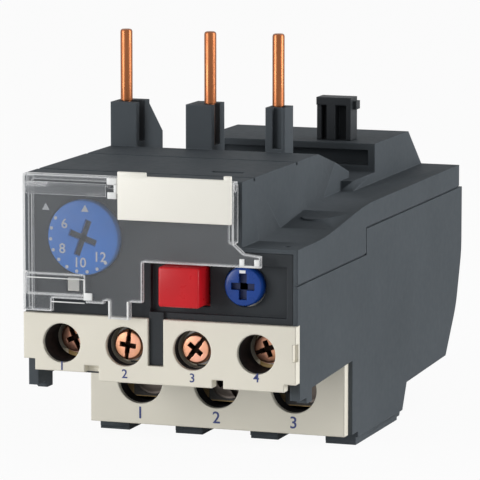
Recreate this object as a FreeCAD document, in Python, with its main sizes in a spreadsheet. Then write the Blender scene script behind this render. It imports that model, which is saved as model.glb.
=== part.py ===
import FreeCAD, Part
import math
import operator
import os
import Sketcher

# Thermal overload relay that plugs under a contactor with three round pins.
#
# Millimetres. X runs left to right seen from the front, Y from the front to the back, Z up.
# The origin is the middle of the footprint, on the surface that the relay stands on.
# Depths are counted back from the front plane of the control terminal block.

SIZES = [
    # overall
    ("housing_width", 45.0, "width of the modular housing"),
    ("housing_depth", 91.8, "front of the control terminal block to the back"),
    ("button_proud", 2.8, "stop button in front of the control terminal block"),
    ("wall_thickness", 1.6, "moulded walls"),
    ("lip_thickness", 0.7, "part of the wall that laps round the front panel"),
    ("seat", 0.05, "gap between pieces that are fixed to each other"),
    ("running", 0.05, "radial clearance of a shaft in its bearing"),
    ("free_gap", 0.3, "gap beside a piece that moves"),
    # heights of the housing
    ("side_bottom", 0.5, "lower edge of the side walls, above the feet"),
    ("overhang_front", 13.4, "underside of the front overhang at the front"),
    ("overhang_back", 14.4, "underside of the front overhang at the terminals"),
    ("parting_front", 30.5, "parting line between the shells, front part"),
    ("parting_back", 34.8, "parting line between the shells, back part"),
    ("ledge_front", 36.2, "right-hand ledge at the front"),
    ("ledge_back", 38.8, "right-hand ledge at the back"),
    ("block_top", 46.3, "top of the raised block"),
    ("rear_top", 45.3, "top of the hooking block"),
    ("tower_top", 53.6, "top of the pin towers"),
    ("pin_top", 65.5, "tips of the line pins"),
    # depths of the housing
    ("lip_depth", 0.9, "front edge of the lips"),
    ("panel_thickness", 1.8, "front panel"),
    ("plate_thickness", 2.0, "front plate of the control terminal block"),
    ("block_back", 38.4, "back of the flat top of the raised block"),
    ("terminal_depth", 28.9, "front edge of the lower side walls"),
    ("parting_step", 36.2, "step of the parting line"),
    ("foot_back", 56.2, "back of the feet"),
    ("tail_step", 59.1, "where the raised rear underside begins"),
    ("tail_bottom", 5.7, "rear underside"),
    ("rear_front", 62.6, "front of the hooking block"),
    ("lid_inset", 1.8, "upper shell set in from the back"),
    # widths
    ("ledge_width", 9.0, "ledge beside the raised block"),
    ("rear_half_width", 15.6, "half width of the hooking block"),
    # phases
    ("phase_margin", 9.3, "outer phases from the sides"),
    ("partition", 1.4, "walls between the phases"),
    ("partition_top", 33.2, "top of the walls between the phases"),
    ("chamber_wall_top", 31.2, "top of the wall in front of the phases"),
    ("foot_half_width", 2.4, "half width of the inner feet"),
    ("foot_front", 32.0, "front of the feet"),
    # line pins and towers
    ("pin_radius", 1.0, "line pins"),
    ("pin_depth", 40.7, "axis of the line pins"),
    ("pin_bend", 2.0, "bend radius of the line pins"),
    ("pin_run", 35.0, "height of the cranked run of the line pins"),
    ("pin_foot", 26.0, "lower end of the line pins"),
    ("neck_rise", 0.1, "the pin's shoulder above its tower"),
    ("neck_step", 0.25, "how much thinner the pin is below its shoulder"),
    ("left_pin_margin", 1.9, "left pin from the left side"),
    ("middle_pin", -5.9, "middle pin"),
    ("right_pin", 5.9, "right pin"),
    ("tower_front", 38.2, "front face of the towers"),
    ("tower_depth", 6.0, "front to back of the towers"),
    ("tower_width", 4.6, "width of the towers"),
    ("tower_wall", 1.2, "front wall of the towers"),
    ("buttress_run", 6.3, "length of the web behind a tower"),
    # power terminals
    ("power_height", 9.45, "axis of the power screws"),
    ("power_hole", 3.9, "radius of the power screwdriver holes"),
    ("power_cover_front", 26.9, "front of the power terminal cover"),
    ("power_cover_half", 21.8, "half width of the power terminal cover"),
    ("power_cover_bottom", 2.2, "lower edge of the power terminal cover"),
    ("power_cover_top", 14.2, "upper edge of the power terminal cover"),
    ("power_screw_head", 3.4, "head radius of the power screws"),
    ("power_screw_radius", 2.0, "power screws, M4"),
    ("power_plate_front", 36.0, "front of the power terminal plates"),
    ("power_plate", 1.0, "thickness of the power terminal plates"),
    ("power_clamp", 1.2, "thickness of the power clamp washers"),
    ("power_travel", 4.0, "how far the power screws back out"),
    ("wire_slot", 4.4, "width of the power wire entries"),
    # control terminals
    ("control_bottom", 14.1, "lower edge of the control terminal block"),
    ("control_top", 24.4, "upper edge of the control terminal block"),
    ("control_height", 19.8, "axis of the control screws"),
    ("control_hole", 3.12, "radius of the control screwdriver wells"),
    ("control_inner", 5.6, "inner control screws from the middle"),
    ("control_margin", 6.4, "outer control screws from the sides"),
    ("control_screw_head", 2.45, "head radius of the control screws"),
    ("control_screw_radius", 1.5, "control screws, M3"),
    ("control_screw_depth", 5.5, "head of a tightened control screw behind the front"),
    ("control_travel", 4.0, "how far the inner control screws are backed out"),
    ("control_plate_front", 8.75, "front of the control terminal strips"),
    ("strip_thickness", 0.8, "control terminal strips"),
    # controls
    ("dial_margin", 10.0, "dial axis from the left side"),
    ("dial_height", 36.6, "dial axis"),
    ("dial_radius", 5.9, "dial"),
    ("dial_shaft", 2.0, "radius of the dial shaft"),
    ("shaft_end", 18.0, "back end of the dial shaft"),
    ("cam_front", 14.5, "front of the dial cam"),
    ("cam_thickness", 3.0, "dial cam"),
    ("cam_offset", 0.8, "dial cam's middle above the dial axis"),
    ("flag_width", 1.9, "trip flag"),
    ("flag_offset", 2.15, "trip flag to the left of the dial axis"),
    ("dial_turned", 20.0, "angle of the screwdriver slot at rest"),
    ("stop_margin", 18.15, "stop button axis from the right side"),
    ("stop_height", 30.0, "stop button axis"),
    ("stop_width", 6.7, "stop button, across"),
    ("stop_tall", 6.3, "stop button, upright"),
    ("reset_margin", 8.7, "reset knob axis from the right side"),
    ("reset_height", 30.2, "reset knob axis"),
    ("reset_radius", 3.1, "reset knob"),
    ("button_travel", 2.0, "travel of the stop button and the reset plunger"),
    ("stem_radius", 1.2, "stem of the stop button"),
    ("reset_stem", 1.6, "radius of the reset plunger's stem"),
    ("stem_end", 11.9, "back ends of both stems"),
    ("frame_front", 10.0, "front of the mechanism frame"),
    ("frame_thickness", 1.4, "mechanism frame"),
    ("spring_wire", 0.25, "wire radius of the springs"),
    # clear cover
    ("cover_front", -1.5, "front of the clear cover"),
    ("cover_thickness", 1.0, "clear cover"),
    ("cover_inset", 0.6, "clear cover from the sides of the raised block"),
    ("cover_gap", 0.15, "behind the clear cover's returns"),
    ("cover_rise", 0.2, "top of the clear cover above the raised block"),
    ("hinge_depth", -0.5, "axis of the cover hinge"),
    ("hinge_radius", 0.9, "outside of the cover hinge"),
    ("hinge_pin", 0.5, "radius of the cover hinge pin"),
    ("legend_thickness", 0.6, "legend plate"),
    # thermal unit and trip mechanism
    ("bimetal_depth", 59.0, "middle of the bimetal strips"),
    ("bimetal_thickness", 0.8, "bimetal strips"),
    ("bimetal_width", 4.0, "bimetal strips, front to back"),
    ("bimetal_foot", 12.8, "lower ends of the bimetal strips"),
    ("bimetal_top", 33.0, "shoulder of the bimetal strips"),
    ("heater_radius", 2.9, "middle of the heater ribbon"),
    ("heater_pitch", 2.4, "rise of the heater per turn"),
    ("heater_turns", 5.0, "turns of the heater"),
    ("heater_bottom", 17.2, "first turn of the heater"),
    ("trip_travel", 1.5, "travel of the trip slide"),
    ("slide_bottom", 33.25, "underside of the trip slide"),
    ("slide_thickness", 1.6, "trip slide"),
    ("lever_margin", 5.5, "pivot of the trip lever from the right side"),
    ("lever_depth", 26.5, "pivot of the trip lever"),
    ("lever_bottom", 31.7, "underside of the trip lever"),
    ("lever_thickness", 1.3, "trip lever"),
    ("lever_pin", 1.0, "radius of the lever pin"),
    ("carrier_front", 16.3, "front of the contact carrier"),
    ("carrier_thickness", 1.2, "contact carrier"),
    ("carrier_travel", 0.9, "travel of the contact carrier"),
    # post and screws
    ("post_across", 7.5, "mounting post from the middle"),
    ("post_depth", 67.0, "middle of the mounting post"),
    ("post_width", 6.1, "mounting post"),
    ("post_top", 52.6, "top of the mounting post"),
    ("screw_depth", 76.0, "housing screws"),
    ("screw_radius", 1.5, "housing screws, M3"),
]

# Places that follow from the sizes above: alias, formula, meaning.
PLACES = [
    ("phase_pitch", "housing_width / 2 - phase_margin", "outer phases from the middle"),
    ("left_pin", "left_pin_margin - housing_width / 2", "left pin"),
    ("control_outer", "housing_width / 2 - control_margin", "outer control screws from the middle"),
    ("block_right", "housing_width / 2 - ledge_width", "right side of the raised block"),
    ("dial_across", "dial_margin - housing_width / 2", "dial axis"),
    ("stop_across", "housing_width / 2 - stop_margin", "stop button axis"),
    ("reset_across", "housing_width / 2 - reset_margin", "reset knob axis"),
    ("flag_across", "dial_across - flag_offset", "middle of the trip flag"),
    ("lever_across", "housing_width / 2 - lever_margin", "pivot of the trip lever"),
    ("cover_left", "cover_inset - housing_width / 2", "left edge of the clear cover"),
    ("cover_right", "block_right - cover_inset", "right edge of the clear cover"),
    ("cover_top", "block_top + cover_rise", "top of the clear cover"),
    ("hinge_height", "cover_top - hinge_radius", "axis of the cover hinge"),
    ("cam_back", "cam_front + cam_thickness", "back of the dial cam"),
]

DOC = FreeCAD.newDocument("ThermalOverloadRelay")
SHEET = DOC.addObject("Spreadsheet::Sheet", "Sizes")
OPERATIONS = {"+": operator.add, "-": operator.sub, "*": operator.mul, "/": operator.truediv}


class Size(float):
    """A number that remembers the spreadsheet formula it stands for."""

    def __new__(cls, value, formula):
        size = super().__new__(cls, value)
        size.formula = formula
        return size

    def __add__(self, other):
        return combine(self, "+", other)

    def __radd__(self, other):
        return combine(other, "+", self)

    def __sub__(self, other):
        return combine(self, "-", other)

    def __rsub__(self, other):
        return combine(other, "-", self)

    def __mul__(self, other):
        return combine(self, "*", other)

    def __rmul__(self, other):
        return combine(other, "*", self)

    def __truediv__(self, other):
        return combine(self, "/", other)

    def __neg__(self):
        return combine(0.0, "-", self)


class Dimensions:
    """The spreadsheet's cells, one attribute for each alias."""


def formula_of(value):
    if isinstance(value, Size):
        return value.formula
    return "(" + repr(float(value)) + ")"


def combine(left, sign, right):
    value = OPERATIONS[sign](float(left), float(right))
    return Size(value, "(" + formula_of(left) + " " + sign + " " + formula_of(right) + ")")


def fill_sheet():
    """Write the driving dimensions to the sheet and return them as sizes."""
    cells = Dimensions()
    for row, (alias, value, meaning) in enumerate(SIZES + PLACES, start=1):
        SHEET.set("A%d" % row, meaning)
        SHEET.set("B%d" % row, "=" + value if isinstance(value, str) else str(value))
        SHEET.setAlias("B%d" % row, alias)
    DOC.recompute()
    for alias, _, _ in SIZES + PLACES:
        setattr(cells, alias, Size(SHEET.get(alias), "Sizes." + alias))
    return cells


D = fill_sheet()
HALF = D.housing_width / 2
INNER = HALF - D.wall_thickness
FRONT = -(D.housing_depth - D.button_proud) / 2
PHASES = [-D.phase_pitch, 0.0, D.phase_pitch]
PINS = [D.left_pin, D.middle_pin, D.right_pin]
CONTROLS = [-D.control_outer, -D.control_inner, D.control_inner, D.control_outer]


def behind(depth):
    """Y of a depth counted back from the front plane."""
    return FRONT + depth


# ---------------------------------------------------------------- modelling helpers

PLANES = {"X": ("YZ_Plane", 1.0), "Y": ("XZ_Plane", -1.0), "Z": ("XY_Plane", 1.0)}


def bind(item, path, value):
    item.setExpression(path, formula_of(value))


def new_body(name):
    body = DOC.addObject("PartDesign::Body", name)
    body.Label = name
    return body


def sketch_at(body, axis, place):
    """Open a sketch square to an axis, at a place along that axis."""
    role, sense = PLANES[axis]
    sketch = body.newObject("Sketcher::SketchObject", body.Name + "_sketch")
    plane = next(item for item in body.Origin.OriginFeatures if item.Role == role)
    sketch.AttachmentSupport = [(plane, "")]
    sketch.MapMode = "FlatFace"
    bind(sketch, "AttachmentOffset.Base.z", combine(place, "*", sense))
    return sketch


def hold(sketch, geometry, point, across, up):
    """Tie a point of the sketch to its sizes."""
    first = sketch.ConstraintCount
    sketch.addConstraint([
        Sketcher.Constraint("DistanceX", geometry, point, float(across)),
        Sketcher.Constraint("DistanceY", geometry, point, float(up)),
    ])
    bind(sketch, "Constraints[%d]" % first, across)
    bind(sketch, "Constraints[%d]" % (first + 1), up)


def box(left, right, low, high):
    """Corners of a rectangle."""
    return [(left, low), (right, low), (right, high), (left, high)]


def around(across, up, half_width, half_height):
    """Corners of a rectangle about its middle."""
    return box(across - half_width, across + half_width, up - half_height, up + half_height)


def disc(across, up, radius):
    return {"across": across, "up": up, "radius": radius}


def draw(sketch, shape):
    """Draw a disc, or a closed outline given by its corners."""
    first = sketch.GeometryCount
    if isinstance(shape, dict):
        middle = FreeCAD.Vector(float(shape["across"]), float(shape["up"]), 0)
        sketch.addGeometry(Part.Circle(middle, FreeCAD.Vector(0, 0, 1), float(shape["radius"])))
        hold(sketch, first, 3, shape["across"], shape["up"])
        radius = sketch.addConstraint(Sketcher.Constraint("Radius", first, float(shape["radius"])))
        bind(sketch, "Constraints[%d]" % radius, shape["radius"])
        return
    count = len(shape)
    corners = [FreeCAD.Vector(float(across), float(up), 0) for across, up in shape]
    sketch.addGeometry([Part.LineSegment(corners[n], corners[(n + 1) % count]) for n in range(count)])
    sketch.addConstraint([
        Sketcher.Constraint("Coincident", first + n, 2, first + (n + 1) % count, 1)
        for n in range(count)
    ])
    for n, (across, up) in enumerate(shape):
        hold(sketch, first + n, 1, across, up)


def sketched(body, kind, axis, low, high, shapes):
    sketch = sketch_at(body, axis, low)
    for shape in shapes:
        draw(sketch, shape)
    feature = body.newObject("PartDesign::" + kind, body.Name + "_" + kind)
    feature.Profile = sketch
    bind(feature, "Length", combine(high, "-", low))
    return feature


def add(body, axis, low, high, *shapes):
    """Pad outlines from one place on an axis to another."""
    feature = sketched(body, "Pad", axis, low, high, shapes)
    feature.Reversed = axis == "Y"
    return feature


def cut(body, axis, low, high, *shapes):
    """Pocket outlines from one place on an axis to another."""
    feature = sketched(body, "Pocket", axis, low, high, shapes)
    feature.Reversed = axis != "Y"
    return feature


def edges_where(body, test):
    """Names of the edges of the body's shape whose two ends pass a test."""
    names = []
    for number, edge in enumerate(body.Shape.Edges, start=1):
        ends = [vertex.Point for vertex in edge.Vertexes]
        if ends and test(ends[0], ends[-1]):
            names.append("Edge%d" % number)
    return names


def near(value, size, within=0.02):
    return abs(value - float(size)) < within


def along_x(start, end):
    return near(start.y, end.y) and near(start.z, end.z)


def dress(body, kind, size_name, size, test):
    """Fillet or chamfer the edges that pass a test."""
    DOC.recompute()
    names = edges_where(body, test)
    base = body.Tip
    feature = body.newObject("PartDesign::" + kind, body.Name + "_" + kind)
    feature.Base = (base, names)
    bind(feature, size_name, size)
    return feature


def round_edges(body, radius, test):
    return dress(body, "Fillet", "Radius", radius, test)


def bevel_edges(body, size, test):
    return dress(body, "Chamfer", "Size", size, test)


def coil(body, axis, across, up, start, radius, pitch, turns, section):
    """Wind a section round an axis that runs along Y or Z."""
    if axis == "Z":
        sketch = sketch_at(body, "X", across)
        middle = (up, start)
        section_at = [(u + up - radius, v + start) for u, v in section]
        far = (up, start + 1.0)
    else:
        sketch = sketch_at(body, "X", across)
        middle = (start, up)
        section_at = [(u + start, v + up + radius) for u, v in section]
        far = (start + 1.0, up)
    draw(sketch, section_at)
    line = sketch.addGeometry(Part.LineSegment(
        FreeCAD.Vector(float(middle[0]), float(middle[1]), 0),
        FreeCAD.Vector(float(far[0]), float(far[1]), 0)), True)
    hold(sketch, line, 1, middle[0], middle[1])
    hold(sketch, line, 2, far[0], far[1])
    winding = body.newObject("PartDesign::AdditiveHelix", body.Name + "_winding")
    winding.Profile = sketch
    winding.ReferenceAxis = (sketch, ["Axis0"])
    winding.Mode = 0
    bind(winding, "Pitch", pitch)
    bind(winding, "Height", pitch * turns)
    return winding


# ---------------------------------------------------------------- casings

def make_base_housing():
    """Lower shell: side walls, overhanging front, phase chambers and feet."""
    body = new_body("base_housing")
    back = behind(D.housing_depth)
    add(body, "X", -HALF, HALF, [
        (behind(D.plate_thickness), D.overhang_front),
        (behind(D.terminal_depth), D.overhang_back),
        (behind(D.terminal_depth), D.side_bottom),
        (behind(D.foot_back), D.side_bottom),
        (behind(D.tail_step), D.tail_bottom),
        (behind(D.housing_depth) - 9.4, D.tail_bottom + 0.7),
        (behind(D.housing_depth) - 3.2, D.tail_bottom + 8.5),
        (back, D.tail_bottom + 17.8),
        (back, D.parting_back),
        (behind(D.parting_step), D.parting_back),
        (behind(D.parting_step), D.parting_front),
        (behind(D.lip_depth), D.parting_front),
        (behind(D.lip_depth), D.control_top),
        (behind(D.plate_thickness), D.control_top),
    ])
    round_edges(body, 12.0, lambda start, end: along_x(start, end)
                and start.y > behind(D.housing_depth) - 4.0 and D.tail_bottom < start.z < D.tail_bottom + 18.0)
    floor = D.side_bottom + D.wall_thickness
    tail = D.tail_bottom + D.wall_thickness
    shelf = D.overhang_back + D.wall_thickness
    opening = behind(D.terminal_depth) - 0.5
    inner_back = back - D.wall_thickness
    chamber = [
        (opening, floor),
        (behind(D.foot_back) - 1.0, floor),
        (behind(D.tail_step) - 1.0, tail),
        (behind(D.housing_depth) - 10.2, tail + 0.7),
        (behind(D.housing_depth) - 4.6, tail + 7.6),
        (inner_back, tail + 16.8),
        (inner_back, D.partition_top),
        (behind(D.terminal_depth) + D.wall_thickness, D.partition_top),
        (behind(D.terminal_depth) + D.wall_thickness, D.overhang_back - 0.1),
        (opening, D.overhang_back - 0.1),
    ]
    web = D.partition / 2
    middle = D.phase_pitch / 2
    for left, right in ((-INNER, -middle - web), (web - middle, middle - web), (middle + web, INNER)):
        cut(body, "X", left, right, chamber)
    wall_back = behind(D.terminal_depth) + D.wall_thickness
    cut(body, "X", -INNER, INNER, [
        (FRONT, shelf),
        (wall_back - D.wall_thickness, shelf),
        (wall_back - D.wall_thickness, D.chamber_wall_top),
        (wall_back, D.chamber_wall_top),
        (wall_back, D.partition_top),
        (inner_back, D.partition_top),
        (inner_back, D.parting_back + 1.0),
        (FRONT, D.parting_back + 1.0),
    ])
    lap = HALF - D.lip_thickness
    cut(body, "X", -lap, lap, box(
        FRONT, behind(D.lip_depth + D.panel_thickness), D.control_top, D.parting_front + 1.0))
    control_back = D.control_plate_front + 0.1
    cut(body, "X", -INNER, INNER, box(FRONT, behind(control_back), D.overhang_front - 1.0, shelf + 0.1))
    for side in (-1.0, 1.0):
        edges = sorted((side * INNER, side * HALF))
        add(body, "X", edges[0], edges[1], box(
            behind(D.plate_thickness), behind(8.0), D.overhang_front - 1.9, D.overhang_front + 2.0))
    add_feet(body, floor)
    add_wire_slots(body, floor)
    add_bearings(body, shelf)
    return body


def add_feet(body, floor):
    """Four feet under the power terminals; the outer two lie along the side walls."""
    inner = D.phase_pitch / 2
    outer = HALF - 0.4
    ranges = [
        (-outer, -outer + 5.1),
        (-inner - D.foot_half_width, D.foot_half_width - inner),
        (inner - D.foot_half_width, inner + D.foot_half_width),
        (outer - 5.1, outer),
    ]
    add(body, "Z", 0.0, floor - 0.5, *[
        box(left, right, behind(D.foot_front), behind(D.foot_back) - 1.4) for left, right in ranges])


def add_wire_slots(body, floor):
    """Openings in the floor for the power wires."""
    half = D.wire_slot / 2 + 0.4
    front = D.power_plate_front - 4.7
    cut(body, "Z", D.side_bottom - 1.0, floor + 0.5, *[
        box(across - half, across + half, behind(front), behind(D.power_plate_front) - 0.1)
        for across in PHASES])


def add_bearings(body, shelf):
    """Column of the lever pin, shelves of the contact carrier and columns of the screws."""
    add(body, "Z", shelf - 0.5, D.lever_bottom - D.free_gap,
        disc(D.lever_across, behind(D.lever_depth), D.lever_pin + 1.4))
    add(body, "Y", behind(12.0), behind(24.0), *[
        box(left, right, D.parting_front - 5.8, D.parting_front - 4.3)
        for left, right in ((-INNER - 0.2, -INNER + 2.2), (INNER - 2.2, INNER + 0.2))])
    middle = D.phase_pitch / 2
    depth = behind(D.screw_depth)
    columns = [disc(side * middle, depth, D.screw_radius + 1.5) for side in (-1.0, 1.0)]
    add(body, "Z", D.tail_bottom + 1.2, D.partition_top, *columns)
    bores = [disc(side * middle, depth, D.screw_radius + 0.15) for side in (-1.0, 1.0)]
    heads = [disc(side * middle, depth, D.screw_radius + 1.3) for side in (-1.0, 1.0)]
    cut(body, "Z", D.tail_bottom - 1.0, D.parting_back, *bores)
    cut(body, "Z", D.tail_bottom - 1.0, D.tail_bottom + 2.6, *heads)
    cut(body, "Z", shelf + 1.0, D.lever_bottom,
        disc(D.lever_across, behind(D.lever_depth), D.lever_pin + 0.02))


def make_top_housing():
    """Upper shell: ledge, raised block, hooking block and pin towers."""
    body = new_body("top_housing")
    lid_back = behind(D.housing_depth) - D.lid_inset
    lip = behind(D.lip_depth)
    step = behind(D.parting_step)
    add(body, "X", -HALF, HALF, [
        (lip, D.parting_front), (step, D.parting_front), (step, D.parting_back),
        (lid_back, D.parting_back), (lid_back, D.ledge_back), (behind(36.0), D.ledge_back),
        (behind(14.0), D.ledge_front), (lip, D.ledge_front),
    ])
    round_edges(body, 90.0, lambda start, end: along_x(start, end)
                and (near(start.y, behind(36.0)) or near(start.y, behind(14.0))))
    add(body, "X", -HALF, D.block_right, [
        (lip, D.parting_front + 1.0), (lip, D.block_top), (behind(D.block_back), D.block_top),
        (behind(D.block_back + 9.0), D.block_top - 2.4), (behind(D.block_back + 16.5), D.block_top - 4.8),
        (behind(D.block_back + 16.5), D.ledge_back - 2.0), (step, D.ledge_back - 2.0),
        (step, D.parting_front + 1.0),
    ])
    rear = behind(D.rear_front)
    add(body, "X", -D.rear_half_width, D.rear_half_width, [
        (behind(D.block_back + 12.0), D.ledge_back - 1.0), (lid_back, D.ledge_back - 1.0),
        (lid_back, D.ledge_back), (behind(82.1), D.rear_top), (rear, D.rear_top),
        (rear, D.ledge_back + 1.7), (behind(D.block_back + 12.0), D.ledge_back + 1.7),
    ])
    cut(body, "X", 1.2 - D.rear_half_width, D.rear_half_width - 1.2,
        box(rear - 1.0, rear + 2.5, D.ledge_back + 2.8, D.rear_top - 1.1))
    add_towers(body)
    hollow_top(body, lid_back)
    cut_top_fittings(body, lid_back)
    return body


def tower_left(index):
    """Left edge of a pin tower: each pin has its own place in its tower."""
    return [-HALF, PINS[1] - D.tower_width + 1.2, PINS[2] - 1.4][index]


def add_towers(body):
    """Three towers with a web behind each."""
    front = behind(D.tower_front)
    back = front + D.tower_depth
    foot = D.block_top - 4.0
    for index in range(3):
        left = tower_left(index)
        right = left + D.tower_width
        add(body, "Z", foot, D.tower_top, box(left, right, front, back))
        add(body, "X", right - 2.4, right, [
            (back - 0.5, foot), (back + D.buttress_run, foot), (back + D.buttress_run, D.tower_top - 6.0),
            (back, D.tower_top - 0.7), (back - 0.5, D.tower_top - 0.7),
        ])
    for index in range(2):
        right = tower_left(index) + D.tower_width
        cut(body, "Y", front + D.tower_wall, front + D.tower_wall + 2.6,
            box(PINS[index], right + 0.5, D.block_top + 0.6, D.tower_top + 0.5))
    groove = tower_left(2) + D.tower_wall
    cut(body, "Y", front - 0.5, behind(D.pin_depth),
        box(groove, groove + 1.6, D.block_top + 0.6, D.tower_top + 0.5))


def hollow_top(body, lid_back):
    """Room inside the upper shell."""
    wall = D.wall_thickness
    lip = behind(D.lip_depth)
    cut(body, "X", -INNER, INNER, [
        (FRONT, D.parting_front - 1.0), (FRONT, D.ledge_front - wall), (behind(14.2), D.ledge_front - wall),
        (behind(36.2), D.ledge_back - wall), (lid_back - wall, D.ledge_back - wall),
        (lid_back - wall, D.parting_front - 1.0),
    ])
    top = D.block_top - wall
    cut(body, "X", -INNER, D.block_right - wall, [
        (FRONT, D.ledge_front - wall - 1.0), (FRONT, top), (behind(D.block_back) - 0.6, top),
        (behind(D.block_back + 8.5), top - 2.5), (behind(D.block_back + 15.0), top - 4.6),
        (behind(D.block_back + 15.0), D.ledge_back - wall - 1.0),
        (behind(36.2), D.ledge_back - wall - 1.0), (behind(14.2), D.ledge_front - wall - 1.0),
    ])
    hollow = behind(D.post_depth + 3.4)
    cut(body, "X", wall - D.rear_half_width, D.rear_half_width - wall, [
        (hollow, D.ledge_back - wall - 1.0), (hollow, D.rear_top - wall), (behind(81.2), D.rear_top - wall),
        (lid_back - 3.4, D.ledge_back - wall + 1.0), (lid_back - 3.4, D.ledge_back - wall - 1.0),
    ])
    rabbet = behind(D.lip_depth + D.panel_thickness)
    cut(body, "X", D.lip_thickness - HALF, HALF - D.lip_thickness,
        box(lip - 1.0, rabbet, D.parting_front - 1.0, D.ledge_front - D.lip_thickness))
    cut(body, "X", D.lip_thickness - HALF, D.block_right - D.lip_thickness,
        box(lip - 1.0, rabbet, D.parting_front - 1.0, D.block_top - D.lip_thickness))


def cut_top_fittings(body, lid_back):
    """Bores of the pins, screw bosses, lever pin boss, post socket and the grooves on top."""
    depth = behind(D.pin_depth)
    cut(body, "Z", D.pin_run - 3.0, D.tower_top + 1.0, *[
        disc(across, depth, D.pin_radius - D.neck_step + D.seat) for across in PINS])
    reach = D.pin_radius + 0.2
    cut(body, "Z", D.parting_back - 1.0, D.block_top - 2.5,
        around(PINS[0], depth, reach, reach))
    middle = D.phase_pitch / 2
    screws = behind(D.screw_depth)
    roof = D.ledge_back - D.wall_thickness
    add(body, "Z", D.partition_top + D.seat, D.rear_top - 0.8, *[
        disc(side * middle, screws, D.screw_radius + 1.5) for side in (-1.0, 1.0)])
    cut(body, "Z", D.partition_top - 1.0, D.rear_top - 2.4, *[
        disc(side * middle, screws, D.screw_radius + 0.02) for side in (-1.0, 1.0)])
    lever_top = D.lever_bottom + D.lever_thickness + D.free_gap
    add(body, "Z", lever_top, roof + 0.5,
        disc(D.lever_across, behind(D.lever_depth), D.lever_pin + 1.4))
    cut(body, "Z", lever_top - 1.0, D.ledge_front - D.wall_thickness,
        disc(D.lever_across, behind(D.lever_depth), D.lever_pin + 0.02))
    tenon = D.post_width / 2 - 1.05
    cut(body, "Z", D.rear_top - 3.4, D.rear_top + 1.0,
        around(D.post_across, behind(D.post_depth), tenon + D.seat, 1.1 + D.seat))
    cut(body, "Z", D.block_top - 0.5, D.block_top + 1.0,
        box(-HALF - 1.0, D.block_right + 1.0, behind(6.2), behind(7.0)),
        box(-HALF - 1.0, D.block_right + 1.0, behind(27.0), behind(27.8)),
        box(D.block_right - 9.0, D.block_right - 3.5, behind(11.0), behind(12.6)))
    cut(body, "Z", D.ledge_front - 2.5, D.ledge_front + 1.0, disc(HALF - 2.7, behind(4.2), 0.55))


def make_front_panel():
    """Dark face plate between the shells, with the lugs of the cover hinge."""
    body = new_body("front_panel")
    front = behind(D.lip_depth)
    back = front + D.panel_thickness
    edge = HALF - D.lip_thickness - D.seat
    step = D.block_right - D.lip_thickness - D.seat
    foot = D.control_top + D.seat
    shoulder = D.ledge_front - D.lip_thickness - D.seat
    top = D.block_top - D.lip_thickness - D.seat
    add(body, "Y", front, back, [
        (-edge, foot), (edge, foot), (edge, shoulder), (step, shoulder), (step, top), (-edge, top),
    ])
    tongue = D.lip_thickness + 0.95
    add(body, "Y", behind(0.5), back, box(-tongue, tongue - 0.9, D.control_bottom + 3.0, foot + 1.5))
    cut(body, "Y", front - 1.0, front + 0.8, box(D.stop_across - 5.85, edge - 1.0, foot + 1.0, shoulder - 2.0))
    cut(body, "Y", front - 1.0, front + 1.0, disc(D.dial_across, D.dial_height, D.dial_radius + D.free_gap))
    cut(body, "Y", front - 1.0, front + 0.6, box(-edge + 1.0, D.dial_across + 1.2, foot + 2.4, foot + 6.2))
    cut(body, "Y", front - 1.0, back + 1.0,
        disc(D.dial_across, D.dial_height, D.dial_shaft + D.running),
        around(D.stop_across, D.stop_height, D.stop_width / 2 + D.free_gap, D.stop_tall / 2 + D.free_gap),
        disc(D.reset_across, D.reset_height, D.reset_radius + D.free_gap),
        around(D.flag_across, foot + 4.5, D.flag_width / 2 + D.free_gap, 1.3))
    axis = behind(D.hinge_depth)
    for left, right in lug_ranges():
        add(body, "X", left, right,
            box(axis, front + 0.5, D.hinge_height - D.hinge_radius, D.hinge_height - 0.1))
        add(body, "X", left, right, disc(axis, D.hinge_height, D.hinge_radius))
    cut(body, "X", D.cover_left, D.cover_right + 1.0, disc(axis, D.hinge_height, D.hinge_pin + 0.02))
    return body


def lug_ranges():
    """Where along the hinge the panel's lugs stand."""
    left = D.cover_left + 16.1
    right = D.cover_right - 2.2
    return ((left, left + 2.0), (right - 2.0, right))


def make_control_terminal_block():
    """Pale block with four screwdriver wells and the wire entries under them."""
    body = new_body("control_terminal_block")
    low = D.control_bottom
    front = behind(0.0)
    plate_back = behind(D.plate_thickness - D.seat)
    add(body, "Y", front, plate_back, [
        (-HALF, low + 3.0), (1.9 - HALF, low + 3.0), (1.9 - HALF, low + 1.25), (10.2 - HALF, low + 1.25),
        (10.2 - HALF, low + 2.4), (12.6 - HALF, low + 2.4), (12.6 - HALF, low),
        (HALF - 13.6, low), (HALF - 13.6, low + 1.3), (HALF - 11.8, low + 1.3),
        (HALF - 11.8, low), (HALF - 1.9, low), (HALF - 1.9, low + 1.25), (HALF, low + 1.25),
        (HALF, D.control_top), (-HALF, D.control_top),
    ])
    back = behind(D.control_plate_front - D.seat)
    body_half = INNER - D.seat
    add(body, "Y", plate_back - 0.5, back, box(-body_half, body_half, low + 1.25, D.control_top - 0.1))
    slot = D.lip_thickness + 1.0
    cut(body, "Y", front - 1.0, back + 1.0, box(-slot, slot - 0.85, low + 2.9, D.control_top + 1.0))
    cut(body, "Y", front - 1.0, back + 1.0, *[
        disc(across, D.control_height, D.control_hole) for across in CONTROLS])
    cut(body, "Z", low - 1.0, D.control_height, *[
        box(across - 2.3, across + 2.3, behind(3.9), back + 1.0) for across in CONTROLS])
    between = (D.control_inner + D.control_outer) / 2
    cut(body, "Y", behind(3.0), back + 1.0, *[
        box(side * between - 1.2, side * between + 1.2, low + 2.4, D.control_top - 1.2)
        for side in (-1.0, 1.0)])
    cut(body, "X", HALF - 0.5, HALF + 1.0, box(front - 1.0, behind(1.3), low + 4.8, low + 7.5))
    return body


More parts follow.
